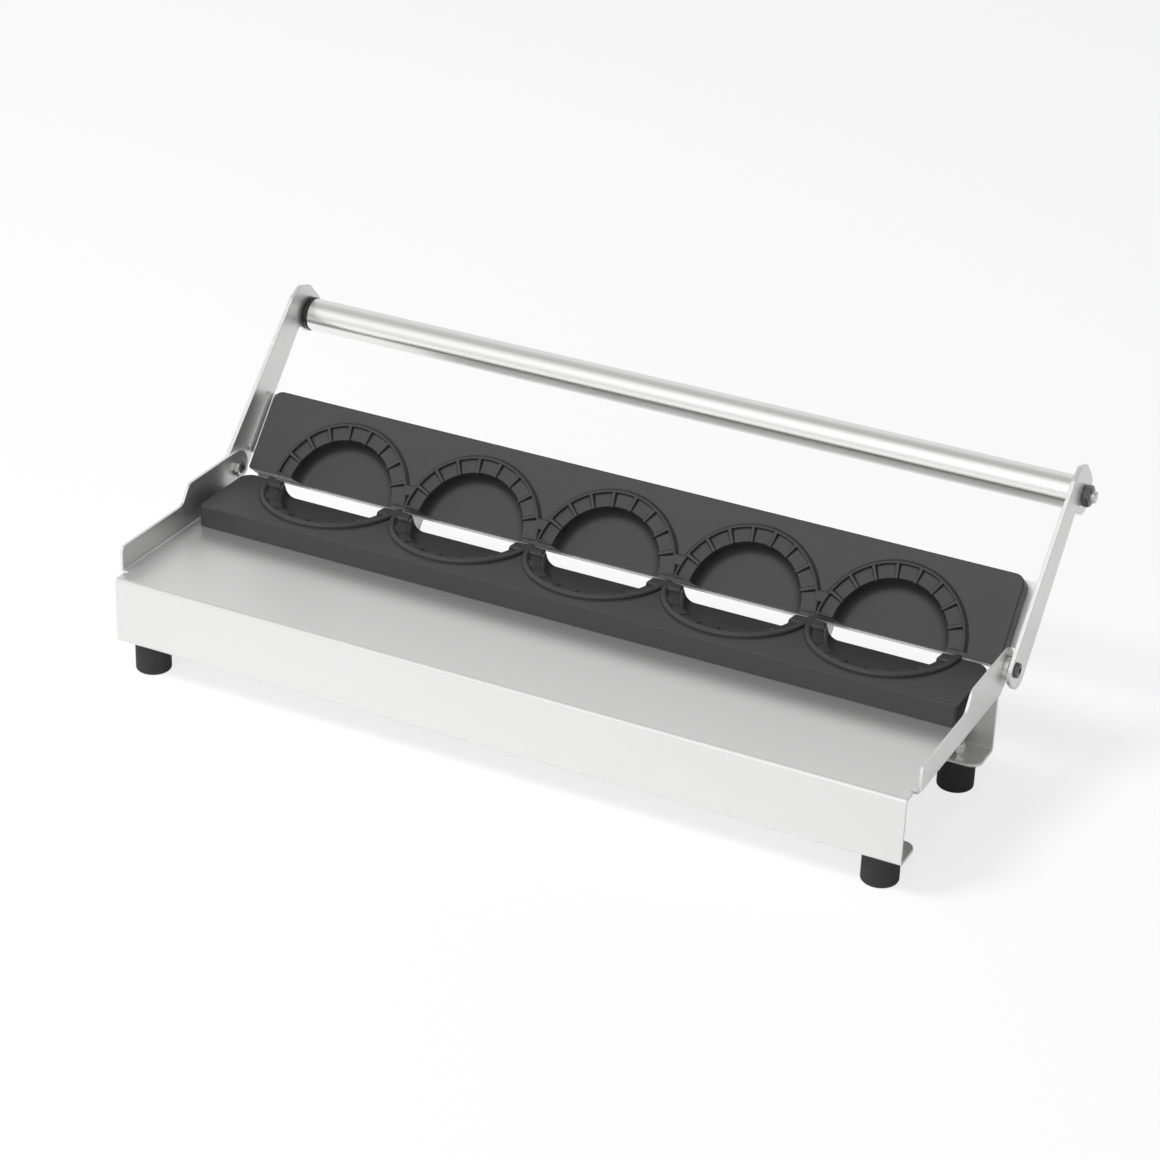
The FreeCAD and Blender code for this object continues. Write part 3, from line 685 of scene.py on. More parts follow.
class Pattern:
    """A Geometry Nodes tree that repeats the shape it is given."""

    def __init__(self, name: str, sizes: dict[str, str]) -> None:
        """Makes the tree with its named inputs.

        Args:
            name: Name of the tree.
            sizes: Socket type of each named input.
        """
        self.tree = bpy.data.node_groups.new(name, "GeometryNodeTree")
        face = self.tree.interface
        face.new_socket("Geometry", in_out="INPUT", socket_type="NodeSocketGeometry")
        self.sockets: dict[str, str] = {}
        for key, kind in {**sizes, "Finish": "NodeSocketMaterial"}.items():
            self.sockets[key] = face.new_socket(key, in_out="INPUT", socket_type=kind).identifier
        face.new_socket("Geometry", in_out="OUTPUT", socket_type="NodeSocketGeometry")
        self.graph = Graph(self.tree)
        self.given = self.graph.node("NodeGroupInput")

    def copies(self, points: Wire, shape: Wire, rotation: Wire | None = None) -> Wire:
        """Real copies of a shape on points."""
        inputs: dict[str | int, Any] = {"Points": points, "Instance": shape}
        if rotation is not None:
            inputs["Rotation"] = rotation
        placed = self.graph.node("GeometryNodeInstanceOnPoints", None, inputs)["Instances"]
        return self.graph.node("GeometryNodeRealizeInstances", None, {"Geometry": placed})["Geometry"]

    def end(self, geometry: Wire) -> "Pattern":
        """Gives the copies their finish and closes the tree."""
        dressed = self.graph.node("GeometryNodeSetMaterial", None,
                                  {"Geometry": geometry, "Material": self.given["Finish"]})["Geometry"]
        self.graph.node("NodeGroupOutput", None, {"Geometry": dressed})
        return self

    @classmethod
    def grid(cls) -> "Pattern":
        """Copies on a level grid that is centred on the origin."""
        made = cls("grid_of_fasteners", {"Across": "NodeSocketFloat", "Deep": "NodeSocketFloat",
                                         "Columns": "NodeSocketInt", "Rows": "NodeSocketInt"})
        given = made.given
        inputs = {"Size X": given["Across"], "Size Y": given["Deep"], "Vertices X": given["Columns"],
                  "Vertices Y": given["Rows"]}
        points = made.graph.node("GeometryNodeMeshGrid", None, inputs)["Mesh"]
        return made.end(made.copies(points, given["Geometry"]))

    @classmethod
    def fans(cls) -> "Pattern":
        """Copies turned about each mould's centre, at equal steps, on a row of moulds."""
        made = cls("fans_of_crimps", {"Moulds": "NodeSocketInt", "Pitch": "NodeSocketFloat",
                                      "Crimps": "NodeSocketInt", "First": "NodeSocketFloat",
                                      "Step": "NodeSocketFloat"})
        given, graph = made.given, made.graph
        inputs = {"Count": given["Crimps"], "Offset": (0, 0, 0)}
        spots = graph.node("GeometryNodeMeshLine", None, inputs)["Mesh"]
        index = graph.node("GeometryNodeInputIndex")["Index"]
        angle = index * given["Step"] + given["First"]
        rotation = graph.node("ShaderNodeCombineXYZ", None, {"Z": angle})["Vector"]
        fan = made.copies(spots, given["Geometry"], rotation)
        start = (given["Moulds"] - 1) * given["Pitch"] * -0.5
        first = graph.node("ShaderNodeCombineXYZ", None, {"X": start})["Vector"]
        stride = graph.node("ShaderNodeCombineXYZ", None, {"X": given["Pitch"]})["Vector"]
        inputs = {"Count": given["Moulds"], "Start Location": first, "Offset": stride}
        moulds = graph.node("GeometryNodeMeshLine", None, inputs)["Mesh"]
        return made.end(made.copies(moulds, fan))


@dataclass
class FoldedBase:
    """The base: one steel blank with aprons, returns, side flanges and hinge ears, folded up."""

    bench: Bench
    half_width: float = 280.0
    depth: float = 158.5
    floor_gap: float = 22.0
    top: float = 69.0
    sheet: float = 2.0
    bend: float = 3.0
    return_depth: float = 27.0
    return_corner: float = 8.0
    wing_flat: float = 281.0
    wing_bend: float = 1.0
    relief_in: float = 277.6
    relief_wide: float = 2.0
    relief_corner: float = 0.9
    wing_front: float = 12.5
    wing_root: float = 150.0
    wing_low: float = 86.0
    wing_high: float = 98.8
    wing_corner: float = 5.0
    step_from: float = 85.0
    step_to: float = 94.0
    step_corner: float = 7.0
    ear_back: float = 167.5
    ear_round: float = 12.9
    ear_low: float = 79.3
    ear_low_round: float = 6.5
    root_high: float = 70.0
    root_round: float = 2.0
    pivot_hole: float = 3.0
    screw_hole: float = 2.75
    edge: float = 0.35

    def path(self) -> tuple[float, float, float, float]:
        """Flat distances of the first bend's two ends, the second bend's end and the return's edge."""
        arc = self.bend * QUARTER
        apron = self.top - self.floor_gap - 2 * self.bend
        start = self.bend - arc
        second = start - apron
        third = second - arc
        return start, second, third, third - (self.return_depth - self.bend)

    def up(self, z: float) -> float:
        """Flat distance from the middle of a point at a height on a side flange."""
        return self.wing_flat + self.wing_bend * QUARTER + z - self.top - self.wing_bend

    def folded(self, flat: Vector) -> Vector:
        """Place of a point of the blank once it is folded."""
        deep = -flat.z
        across = abs(flat.x)
        if across > self.wing_flat:
            return self.wing(flat, across, deep)
        mirrored = flat.y > self.depth / 2
        s = self.depth - flat.y if mirrored else flat.y
        start, second, third, _ = self.path()
        radius = self.bend - deep
        if s >= self.bend:
            y, z = s, self.top - deep
        elif s >= start:
            angle = (self.bend - s) / self.bend
            y, z = self.bend - radius * math.sin(angle), self.top - self.bend + radius * math.cos(angle)
        elif s >= second:
            y, z = deep, self.top - self.bend + s - start
        elif s >= third:
            angle = (second - s) / self.bend
            y, z = self.bend - radius * math.cos(angle), self.floor_gap + self.bend - radius * math.sin(angle)
        else:
            y, z = self.bend + third - s, self.floor_gap + deep
        return Vector((flat.x, self.depth - y if mirrored else y, z))

    def wing(self, flat: Vector, across: float, deep: float) -> Vector:
        """Place of a point of a side flange once it is folded."""
        arc = self.wing_bend * QUARTER
        along = across - self.wing_flat
        radius = self.wing_bend + deep
        if along < arc:
            angle = along / self.wing_bend
            x = self.wing_flat + radius * math.sin(angle)
            z = self.top + self.wing_bend - radius * math.cos(angle)
        else:
            x = self.wing_flat + radius
            z = self.top + self.wing_bend + along - arc
        return Vector((math.copysign(x, flat.x), flat.y, z))

    def outline(self) -> list[Spot]:
        """Outline of the blank, anticlockwise."""
        edge = self.path()[3]
        low, high = self.up(self.wing_low), self.up(self.wing_high)
        inner, wide, corner = self.relief_in, self.relief_wide, self.relief_corner
        front, root = self.wing_front, self.wing_root
        wall, turn, back = self.half_width, self.step_corner, self.ear_back
        right = [(wall, edge, self.return_corner), (wall, front - wide, 0.0),
                 (inner, front - wide, corner), (inner, front, corner), (low, front, self.wing_corner),
                 (low, self.step_from, turn), (high, self.step_to, turn), (high, back, self.ear_round),
                 (self.up(self.ear_low), back, self.ear_low_round),
                 (self.up(self.root_high), root, self.root_round),
                 (inner, root, corner), (inner, root + wide, corner), (wall, root + wide, 0.0),
                 (wall, self.depth - edge, self.return_corner)]
        left = [(-x, s, radius) for x, s, radius in reversed(right)]
        return rounded(right + left)

    def holes(self) -> list[list[Spot]]:
        """Holes for the pivots, the mould plate's screws and the feet."""
        pivot = self.up(self.bench.layout.pivot_z)
        foot = self.path()[2] + self.bend - Feet.inset
        loops = []
        for sign in (-1, 1):
            loops.append(circle(sign * pivot, self.bench.layout.pivot_y, self.pivot_hole))
            for y in DieFasteners.lower_rows:
                loops.append(circle(sign * DieFasteners.across, y, self.screw_hole))
            for s in (foot, self.depth - foot):
                loops.append(circle(sign * Feet.across, s, self.screw_hole))
        return loops

    def cuts(self) -> list[tuple[Vector, float]]:
        """Lines across the blank where its bends need edges."""
        start, second, third, _ = self.path()
        along, across = Vector((0, 1, 0)), Vector((1, 0, 0))
        wing_end = self.wing_flat + self.wing_bend * QUARTER
        return (bend_cuts(along, start, self.bend, self.depth) + bend_cuts(along, third, second, self.depth)
                + bend_cuts(across, self.wing_flat, wing_end, 0.0))

    def build(self) -> None:
        """Makes the base tray."""
        solid = Solid().plate(self.outline(), self.holes(), -self.sheet, 0.0, self.edge)
        mesh = folded_mesh("folded_base", solid, self.cuts(), self.folded, self.bench.layout.base())
        self.bench.piece(mesh, "stainless", "base", "base_tray")


def bend_cuts(normal: Vector, low: float, high: float, mirror: float) -> list[tuple[Vector, float]]:
    """Lines across a bend and across its mirror image.

    Args:
        normal: Direction that the lines' distances are measured in.
        low: Distance where the bend starts.
        high: Distance where it ends.
        mirror: What a line's distance and its mirror image's distance add up to.

    Returns:
        Direction and distance of each line.
    """
    lines = []
    for k in range(ROUND_STEPS + 1):
        at = low + (high - low) * k / ROUND_STEPS
        lines += [(normal, at), (normal, mirror - at)]
    return lines


def folded_mesh(name: str, solid: Solid, cuts: Sequence[tuple[Vector, float]],
                fold: Callable[[Vector], Vector], place: Matrix) -> bpy.types.Mesh:
    """Folds a flat blank.

    Args:
        name: Name of the mesh.
        solid: The blank.
        cuts: Direction and distance of each line that the bends need.
        fold: Gives a point's folded place.
        place: Matrix from millimetres to the frame.

    Returns:
        The folded mesh.
    """
    grown = solid.shape()
    for normal, distance in cuts:
        every = grown.verts[:] + grown.edges[:] + grown.faces[:]
        bmesh.ops.bisect_plane(grown, geom=every, dist=1e-4, plane_co=normal * distance, plane_no=normal)
    for corner in grown.verts:
        corner.co = fold(corner.co)
    return as_mesh(name, grown, place)


@dataclass
class MouldPlate:
    """A black mould plate with a row of half bowls, each inside a raised crimp ring.

    Its own directions are across, away from the hinge axis, and out of the face.
    """

    bench: Bench
    name: str
    node: str
    body: str
    width: float
    near: float
    far: float
    thick: float
    near_corner: float
    far_corner: float
    edge: float
    profile: tuple[Corner, ...]
    place: Matrix
    moulds: int = 5
    pitch: float = 101.5
    back_edge: float = 0.5
    sweep: int = 84

    def rows(self) -> list[Spot]:
        """Radius and height of each row of points from the ring's foot to the bowl's middle."""
        line = rounded((*self.profile, (self.near, self.profile[-1][1], 0.0)), closed=False)
        meeting = math.hypot(self.pitch / 2, self.near)
        rows: list[Spot] = []
        for first, second in zip(line, line[1:]):
            rows.append(first)
            if first[0] > meeting > second[0]:
                share = (first[0] - meeting) / (first[0] - second[0])
                rows.append((meeting, first[1] + share * (second[1] - first[1])))
        return rows + [line[-1]]

    def start(self, radius: float, neighbour: bool) -> float:
        """Angle at which a row leaves the hinge edge, or the plane between two moulds."""
        edge = math.asin(min(1.0, self.near / radius))
        half = self.pitch / 2
        return max(edge, math.acos(half / radius)) if neighbour and radius > half else edge

    def mould(self, solid: Solid, rows: Sequence[Spot], index: int) -> list[list[int]]:
        """Adds one ring and bowl, and returns its rows of points from right to left."""
        middle = (index - (self.moulds - 1) / 2) * self.pitch
        grid = []
        for radius, height in rows:
            first = self.start(radius, index < self.moulds - 1)
            last = math.pi - self.start(radius, index > 0)
            angles = [first + (last - first) * k / self.sweep for k in range(self.sweep + 1)]
            grid.append([solid.point(middle + radius * math.cos(a), radius * math.sin(a), height)
                         for a in angles])
        for upper, lower in zip(grid, grid[1:]):
            solid.bridge(upper, lower, closed=False)
        return grid

    def border(self) -> list[tuple[float, float, float, float]]:
        """Points of the outer border from left hinge end to right, with their inward normals."""
        half = self.width / 2
        corners = [(-half + self.near_corner, self.near + self.near_corner, self.near_corner, 3, 0.0),
                   (-half + self.far_corner, self.far - self.far_corner, self.far_corner, 2, 1.0),
                   (half - self.far_corner, self.far - self.far_corner, self.far_corner, 1, 1.0),
                   (half - self.near_corner, self.near + self.near_corner, self.near_corner, 0, 0.0)]
        points = []
        for u, v, radius, quarter, inwards in corners:
            for k in range(2 * ROUND_STEPS + 1):
                angle = QUARTER * (quarter - k / 2 / ROUND_STEPS)
                cosine, sine = math.cos(angle), math.sin(angle)
                points.append((u + radius * cosine, v + radius * sine, -cosine, -sine * inwards))
        return points

    def levels(self) -> list[Spot]:
        """Inset and height of each row down the plate's side, from the face to the back."""
        turns = [QUARTER * k / ROUND_STEPS for k in range(ROUND_STEPS + 1)]
        front = [(self.edge * (1 - math.sin(a)), self.edge * (math.cos(a) - 1)) for a in turns]
        back = [(self.back_edge * (1 - math.cos(a)), self.back_edge * (1 - math.sin(a)) - self.thick)
                for a in turns]
        return front + back

    def end_face(self, grids: Sequence[Sequence[Sequence[int]]], rows: Sequence[Spot]) -> list[int]:
        """Points of the moulds along the hinge edge, from left to right."""
        meeting = math.hypot(self.pitch / 2, self.near) + MM
        line: list[int] = []
        for index, grid in enumerate(grids):
            left = [row[-1] for row, (radius, _) in zip(grid, rows) if index == 0 or radius < meeting]
            right = [row[0] for row, (radius, _) in zip(grid, rows)
                     if index == self.moulds - 1 or radius < meeting]
            line += left + right[::-1]
        return line

    def build(self) -> None:
        """Makes the plate."""
        solid = Solid()
        rows = self.rows()
        grids = [self.mould(solid, rows, index) for index in range(self.moulds)]
        border = self.border()
        sides = []
        for inset, height in self.levels():
            sides.append([solid.point(x + inset * nx, t + inset * nt, height) for x, t, nx, nt in border])
        for upper, lower in zip(sides, sides[1:]):
            solid.bridge(upper, lower, closed=False)
        scallops = [corner for grid in reversed(grids) for corner in grid[0]]
        solid.face(sides[0] + scallops)
        solid.face(sides[-1])
        right = [side[-1] for side in sides]
        left = [side[0] for side in reversed(sides)]
        solid.face(right + left + self.end_face(grids, rows))
        mesh = as_mesh(self.name, solid.shape(), self.place)
        self.bench.piece(mesh, "mould_plastic", self.body, self.node)


@dataclass
class CrimpBlocks:
    """Small blocks that stand on every crimp ring at equal angles."""

    bench: Bench
    pattern: Pattern
    plate: MouldPlate
    name: str
    stations: tuple[tuple[float, float, float], ...]
    section: tuple[Spot, ...]
    foot: float
    count: int
    first: float
    step: float = math.radians(18.95)
    moulds: int = 5

    def block(self) -> Solid:
        """One block that points away from the hinge, drawn as sections at its stations."""
        solid = Solid()
        rows = []
        for radius, half, top in self.stations:
            spots = [(u * half, self.foot + (top - self.foot) * v) for u, v in self.section]
            rows.append([solid.point(u, radius, h) for u, h in spots])
        for first, second in zip(rows, rows[1:]):
            solid.bridge(first, second)
        solid.face(rows[0])
        solid.face(rows[-1])
        return solid

    def build(self) -> None:
        """Makes all the blocks of one plate."""
        values = {"Moulds": self.moulds, "Pitch": self.plate.pitch, "Crimps": self.count,
                  "First": self.first - QUARTER, "Step": self.step}
        mesh = self.bench.repeated(self.name, self.block(), self.pattern, values, "mould_plastic",
                                   self.plate.place)
        self.bench.piece(mesh, "mould_plastic", self.plate.body)


@dataclass
class LidFrame:
    """The lid's steel: two flat arms and the folded plate behind the upper mould plate."""

    bench: Bench
    arm_inner: float = 287.5
    arm_thick: float = 3.0
    arm_edge: float = 0.45
    arm_corners: tuple[Corner, ...] = (
        (-10.5, -9.0, 9.0), (127.5, 2.0, 4.0), (139.0, 7.0, 4.0), (144.5, 19.5, 4.0), (141.3, 47.0, 14.0),
        (115.2, 47.0, 12.0), (115.2, 24.5, 4.0), (-10.5, 21.5, 13.0))
    pivot_hole: float = 4.05
    rod_hole: float = 4.0
    sheet: float = 1.5
    bend: float = 3.0
    rear: float = 20.0
    cheek_front: float = 13.0
    cheek_from: float = 17.0
    plate_to: float = 61.5
    web_half: float = 276.0
    web_from: float = 1.5
    lug_x: float = 152.25
    lug_half: float = 9.0
    lug_tip: float = -15.36
    sheet_edge: float = 0.3

    def arm(self, side: Side) -> None:
        """Makes one arm."""
        outline = [(along, -back) for along, back in rounded(self.arm_corners)][::-1]
        layout = self.bench.layout
        holes = [circle(0.0, 0.0, self.pivot_hole),
                 circle(layout.handle_along, -layout.handle_back, self.rod_hole)]
        low, high = sorted((side.value * self.arm_inner, side.value * (self.arm_inner + self.arm_thick)))
        solid = Solid().plate(outline, holes, low, high, self.arm_edge)
        upright = Matrix(((0, 0, 1, 0), (1, 0, 0, 0), (0, 1, 0, 0), (0, 0, 0, 1)))
        mesh = as_mesh(f"flat_arm_{side.word}", solid.shape(), layout.lid() @ upright)
        self.bench.piece(mesh, "stainless", "lid", f"arm_{side.word}")

    def folded(self, flat: Vector) -> Vector:
        """Place of a point of the back plate's blank once its cheeks are folded."""
        across = abs(flat.x)
        bend_at = self.arm_inner - self.bend
        arc = self.bend * QUARTER
        radius = self.bend - flat.z
        low = self.bend - self.rear
        if across <= bend_at:
            return Vector((flat.x, flat.y, flat.z - self.rear))
        if across < bend_at + arc:
            angle = (across - bend_at) / self.bend
            x, h = bend_at + radius * math.sin(angle), low - radius * math.cos(angle)
        else:
            x, h = bend_at + radius, low + across - bend_at - arc
        return Vector((math.copysign(x, flat.x), flat.y, h))

    def back_plate(self) -> None:
        """Makes the folded plate with its cheeks and stop lugs."""
        bend_at = self.arm_inner - self.bend
        arc = self.bend * QUARTER
        far = bend_at + arc + self.rear - self.bend - self.cheek_front
        low, lug, half = self.web_from, self.lug_x, self.lug_half
        right = [(lug - half, low, 0.0), (lug - half, self.lug_tip, 4.0), (lug + half, self.lug_tip, 4.0),
                 (lug + half, low, 0.0), (self.web_half, low, 1.0), (self.web_half, self.cheek_from, 1.0),
                 (far, self.cheek_from, 3.0), (far, self.plate_to, 3.0)]
        left = [(-x, along, radius) for x, along, radius in reversed(right)]
        holes = [circle(sign * DieFasteners.across, along, FoldedBase.screw_hole)
                 for sign in (-1, 1) for along in DieFasteners.upper_rows]
        solid = Solid().plate(rounded(right + left), holes, 0.0, self.sheet, self.sheet_edge)
        cuts = bend_cuts(Vector((1, 0, 0)), bend_at, bend_at + arc, 0.0)
        mesh = folded_mesh("folded_back_plate", solid, cuts, self.folded, self.bench.layout.lid())
        self.bench.piece(mesh, "stainless", "lid", "lid_back_plate")

    def build(self) -> None:
        """Makes the arms and the plate."""
        for side in Side:
            self.arm(side)
        self.back_plate()


def soft_rings(corners: Sequence[Corner], closed: bool = False, steps: int = 4) -> list[Ring]:
    """Rings of a turned piece from corners of radius, height and rounding."""
    return [Ring(z, radius) for radius, z in rounded(corners, closed, steps)]


def washer_rings(bore: float, radius: float, thick: float, edge: float) -> list[Ring]:
    """Rings of a flat washer with softened outer edges."""
    corners = [(bore, 0.0, 0.0), (radius, 0.0, edge), (radius, thick, edge), (bore, thick, 0.0)]
    return soft_rings(corners, True)


def nut_rings(across: float, height: float, bore: float, crown: float) -> list[Ring]:
    """Rings of a hexagon nut with turned corners, round its bore.

    Args:
        across: Width across flats.
        height: Height of the nut.
        bore: Radius of its hole.
        crown: Height of the turned corners.

    Returns:
        The rings, from the bore at the bottom and back to it at the top.
    """
    flat = across / 2 * 0.97
    wide = across / math.sqrt(3) * 1.01
    lifts = [(flat + (wide - flat) * k / 4, crown * (k / 4) ** 1.15) for k in range(5)]
    bottom = [Ring(lift, radius, Section.HEX, across) for radius, lift in lifts]
    top = [Ring(height - lift, radius, Section.HEX, across) for radius, lift in reversed(lifts)]
    return [Ring(0.0, bore), *bottom, *top, Ring(height, bore)]


@dataclass
class Handle:
    """The roller handle: tube, end bushes, tie rod and its nuts."""

    bench: Bench
    tube_half: float = 283.8
    tube_radius: float = 11.3
    tube_wall: float = 1.4
    collar_radius: float = 11.8
    collar_long: float = 3.4
    spigot_long: float = 16.0
    rod_radius: float = 5.0
    bush_bore: float = 5.05
    rod_end: float = 4.0
    rod_nub: float = 3.0
    nut_across: float = 13.0
    nut_high: float = 5.0
    arm_inner: float = 287.5
    arm_outer: float = 290.5

    def tube(self) -> None:
        """Makes the tube."""
        outer, inner, half = self.tube_radius, self.tube_radius - self.tube_wall, self.tube_half
        corners = [(inner, -half, 0.3), (outer, -half, 0.5), (outer, half, 0.5), (inner, half, 0.3)]
        mesh = self.bench.turned("handle_roller", soft_rings(corners, True),
                                 self.bench.layout.handle_end(Side.RIGHT, 0.0), True)
        self.bench.piece(mesh, "stainless_tube", "grip", "handle_tube")

    def bush(self, side: Side) -> None:
        """Makes one end bush."""
        inner = self.tube_radius - self.tube_wall
        collar, long = self.collar_radius, self.collar_long
        corners = [(self.bush_bore, -self.spigot_long, 0.3), (inner, -self.spigot_long, 0.8),
                   (inner, 0.0, 0.0), (collar, 0.0, 0.3), (collar, long, 1.2), (self.bush_bore, long, 0.4)]
        mesh = self.bench.turned(f"roller_bush_{side.word}", soft_rings(corners, True),
                                 self.bench.layout.handle_end(side, self.tube_half), True)
        self.bench.piece(mesh, "bush_plastic", "grip", f"handle_bush_{side.word}")

    def rod(self) -> None:
        """Makes the tie rod with its shouldered, chamfered ends."""
        end = self.arm_outer + self.nut_high + self.rod_nub
        half = [(0.0, end, 0.0), (self.rod_end, end, 0.7), (self.rod_end, self.arm_inner, 0.0),
                (self.rod_radius, self.arm_inner, 0.2)]
        corners = half + [(radius, -x, edge) for radius, x, edge in reversed(half)]
        place = self.bench.layout.handle_end(Side.RIGHT, 0.0)
        mesh = self.bench.turned("handle_rod", soft_rings(corners), place)
        self.bench.piece(mesh, "bright_fastener", "lid", "tie_rod")

    def nut(self, side: Side) -> None:
        """Makes one nut of the tie rod."""
        rings = nut_rings(self.nut_across, self.nut_high, self.rod_end, 0.9)
        mesh = self.bench.turned(f"handle_nut_{side.word}", rings,
                                 self.bench.layout.handle_end(side, self.arm_outer), True)
        self.bench.piece(mesh, "dark_fastener", "lid", f"tie_rod_nut_{side.word}")

    def build(self) -> None:
        """Makes the whole handle."""
        self.tube()
        self.rod()
        for side in Side:
            self.bush(side)
            self.nut(side)


@dataclass
class Pivots:
    """The two hinge pivots: shoulder screws with washers and nuts."""

    bench: Bench
    ear_inner: float = 282.0
    ear_outer: float = 284.0
    arm_inner: float = 287.5
    head_at: float = 290.7
    head_radius: float = 5.0
    head_high: float = 2.3
    head_edge: float = 1.3
    socket_across: float = 4.0
    socket_deep: float = 1.6
    shoulder: float = 4.0
    thread: float = 3.0
    nut_across: float = 10.0
    nut_high: float = 3.2
    tip: float = 0.4
    washer_radius: float = 8.0
    washer_edge: float = 0.4
    slack: float = 0.2

    def screw(self, side: Side) -> None:
        """Makes one shoulder screw with a hexagon socket."""
        top, af = self.head_high, self.socket_across
        floor = top - self.socket_deep
        start = self.ear_inner - self.nut_high - self.tip - self.head_at
        body = [(0.0, start, 0.0), (self.thread, start, 0.5),
                (self.thread, self.ear_outer - self.head_at, 0.0),
                (self.shoulder, self.ear_outer - self.head_at, 0.2), (self.shoulder, 0.0, 0.0),
                (self.head_radius, 0.0, 0.2), (self.head_radius, top, self.head_edge), (af * 0.62, top, 0.0)]
        socket = [Ring(top, af, Section.HEX, af), Ring(floor, af, Section.HEX, af), Ring(floor - 0.4, 0.0)]
        mesh = self.bench.turned(f"shoulder_screw_{side.word}", soft_rings(body) + socket,
                                 self.bench.layout.pivot_end(side, self.head_at))
        self.bench.piece(mesh, "dark_fastener", "base", f"pivot_screw_{side.word}")

    def washer(self, side: Side) -> None:
        """Makes one washer between ear and arm."""
        thick = self.arm_inner - self.slack - self.ear_outer
        rings = washer_rings(self.shoulder, self.washer_radius, thick, self.washer_edge)
        mesh = self.bench.turned(f"hinge_washer_{side.word}", rings,
                                 self.bench.layout.pivot_end(side, self.ear_outer), True)
        self.bench.piece(mesh, "bright_fastener", "base", f"pivot_washer_{side.word}")

    def nut(self, side: Side) -> None:
        """Makes one nut inside its ear."""
        rings = nut_rings(self.nut_across, self.nut_high, self.thread, 0.7)
        mesh = self.bench.turned(f"hinge_nut_{side.word}", rings,
                                 self.bench.layout.pivot_end(side, self.ear_inner, True), True)
        self.bench.piece(mesh, "bright_fastener", "base", f"pivot_nut_{side.word}")

    def build(self) -> None:
        """Makes both pivots."""
        for side in Side:
            self.screw(side)
            self.washer(side)
            self.nut(side)


@dataclass
class Feet:
    """Four rubber feet with their screws, washers and dome nuts."""

    bench: Bench
    pattern: Pattern
    across: float = 262.0
    inset: float = 15.5
    depth: float = 158.5
    radius: float = 12.0
    high: float = 22.0
    bore: float = 5.5
    bore_deep: float = 8.0
    shank: float = 2.5
    head: float = 4.6
    head_high: float = 4.0
    socket: float = 4.0
    sheet: float = 2.0
    washer: float = 5.5
    washer_thick: float = 1.0
    stud: float = 4.0
    nut_across: float = 8.0
    nut_high: float = 4.5
    dome: float = 3.7
    dome_sink: float = 0.3

    def foot(self, name: str, x: float, y: float) -> None:
        """Makes one foot."""
        corners = [(self.bore, 0.0, 0.5), (self.radius, 0.0, 1.5), (self.radius, self.high, 0.8),
                   (self.shank, self.high, 0.0), (self.shank, self.bore_deep, 0.0),
                   (self.bore, self.bore_deep, 0.0)]
        place = self.bench.layout.base() @ Matrix.Translation((x, y, 0))
        mesh = self.bench.turned("rubber_" + name, soft_rings(corners, True, 6), place, True)
        self.bench.piece(mesh, "foot_rubber", "base", name)

    def group(self, name: str, node: str, solid: Solid, z: float) -> None:
        """Makes four copies of a small fastener, one at each foot."""
        values = {"Across": 2 * self.across, "Deep": self.depth - 2 * self.inset, "Columns": 2, "Rows": 2}
        place = self.bench.layout.base() @ Matrix.Translation((0, self.depth / 2, z))
        mesh = self.bench.repeated(name, solid, self.pattern, values, "bright_fastener", place)
        self.bench.piece(mesh, "bright_fastener", "base", node)

    def screw(self) -> Solid:
        """One screw, its head's seat at the bore's floor."""
        tip = self.high - self.bore_deep + self.sheet + self.washer_thick + self.stud
        low, af = -self.head_high, self.socket
        rings = [Ring(low / 2 + 0.4, 0.0), Ring(low / 2, af, Section.HEX, af), Ring(low, af, Section.HEX, af)]
        body = [(af * 0.62, low, 0.0), (self.head, low, 0.5), (self.head, 0.0, 0.2), (self.shank, 0.0, 0.0),
                (self.shank, tip, 0.5), (0.0, tip, 0.0)]
        return Solid().turn(rings + soft_rings(body), steps=SMALL_STEPS)

    def dome_nut(self) -> Solid:
        """One dome nut."""
        rings = nut_rings(self.nut_across, self.nut_high, self.shank, 0.6)[:-2]
        middle = self.nut_high - self.dome_sink
        start = math.asin(self.dome_sink / self.dome)
        angles = [start + (QUARTER - start) * k / 10 for k in range(11)]
        rings += [Ring(self.nut_high, self.dome * 1.04)]
        rings += [Ring(middle + self.dome * math.sin(a), self.dome * math.cos(a)) for a in angles]
        bore = [Ring(self.stud, 0.0), Ring(self.stud, self.shank)]
        return Solid().turn(bore + rings, steps=SMALL_STEPS)

    def build(self) -> None:
        """Makes the feet and what holds them."""
        for row, y in (("front", self.inset), ("rear", self.depth - self.inset)):
            for side in Side:
                self.foot(f"foot_{row}_{side.word}", side.value * self.across, y)
        self.group("feet_screws", "foot_screws", self.screw(), self.bore_deep)
        rings = washer_rings(self.shank, self.washer, self.washer_thick, WASHER_EDGE)
        washer = Solid().turn(rings, True, SMALL_STEPS)
        self.group("feet_washers", "foot_washers", washer, self.high + self.sheet)
        self.group("feet_dome_nuts", "foot_dome_nuts", self.dome_nut(),
                   self.high + self.sheet + self.washer_thick)


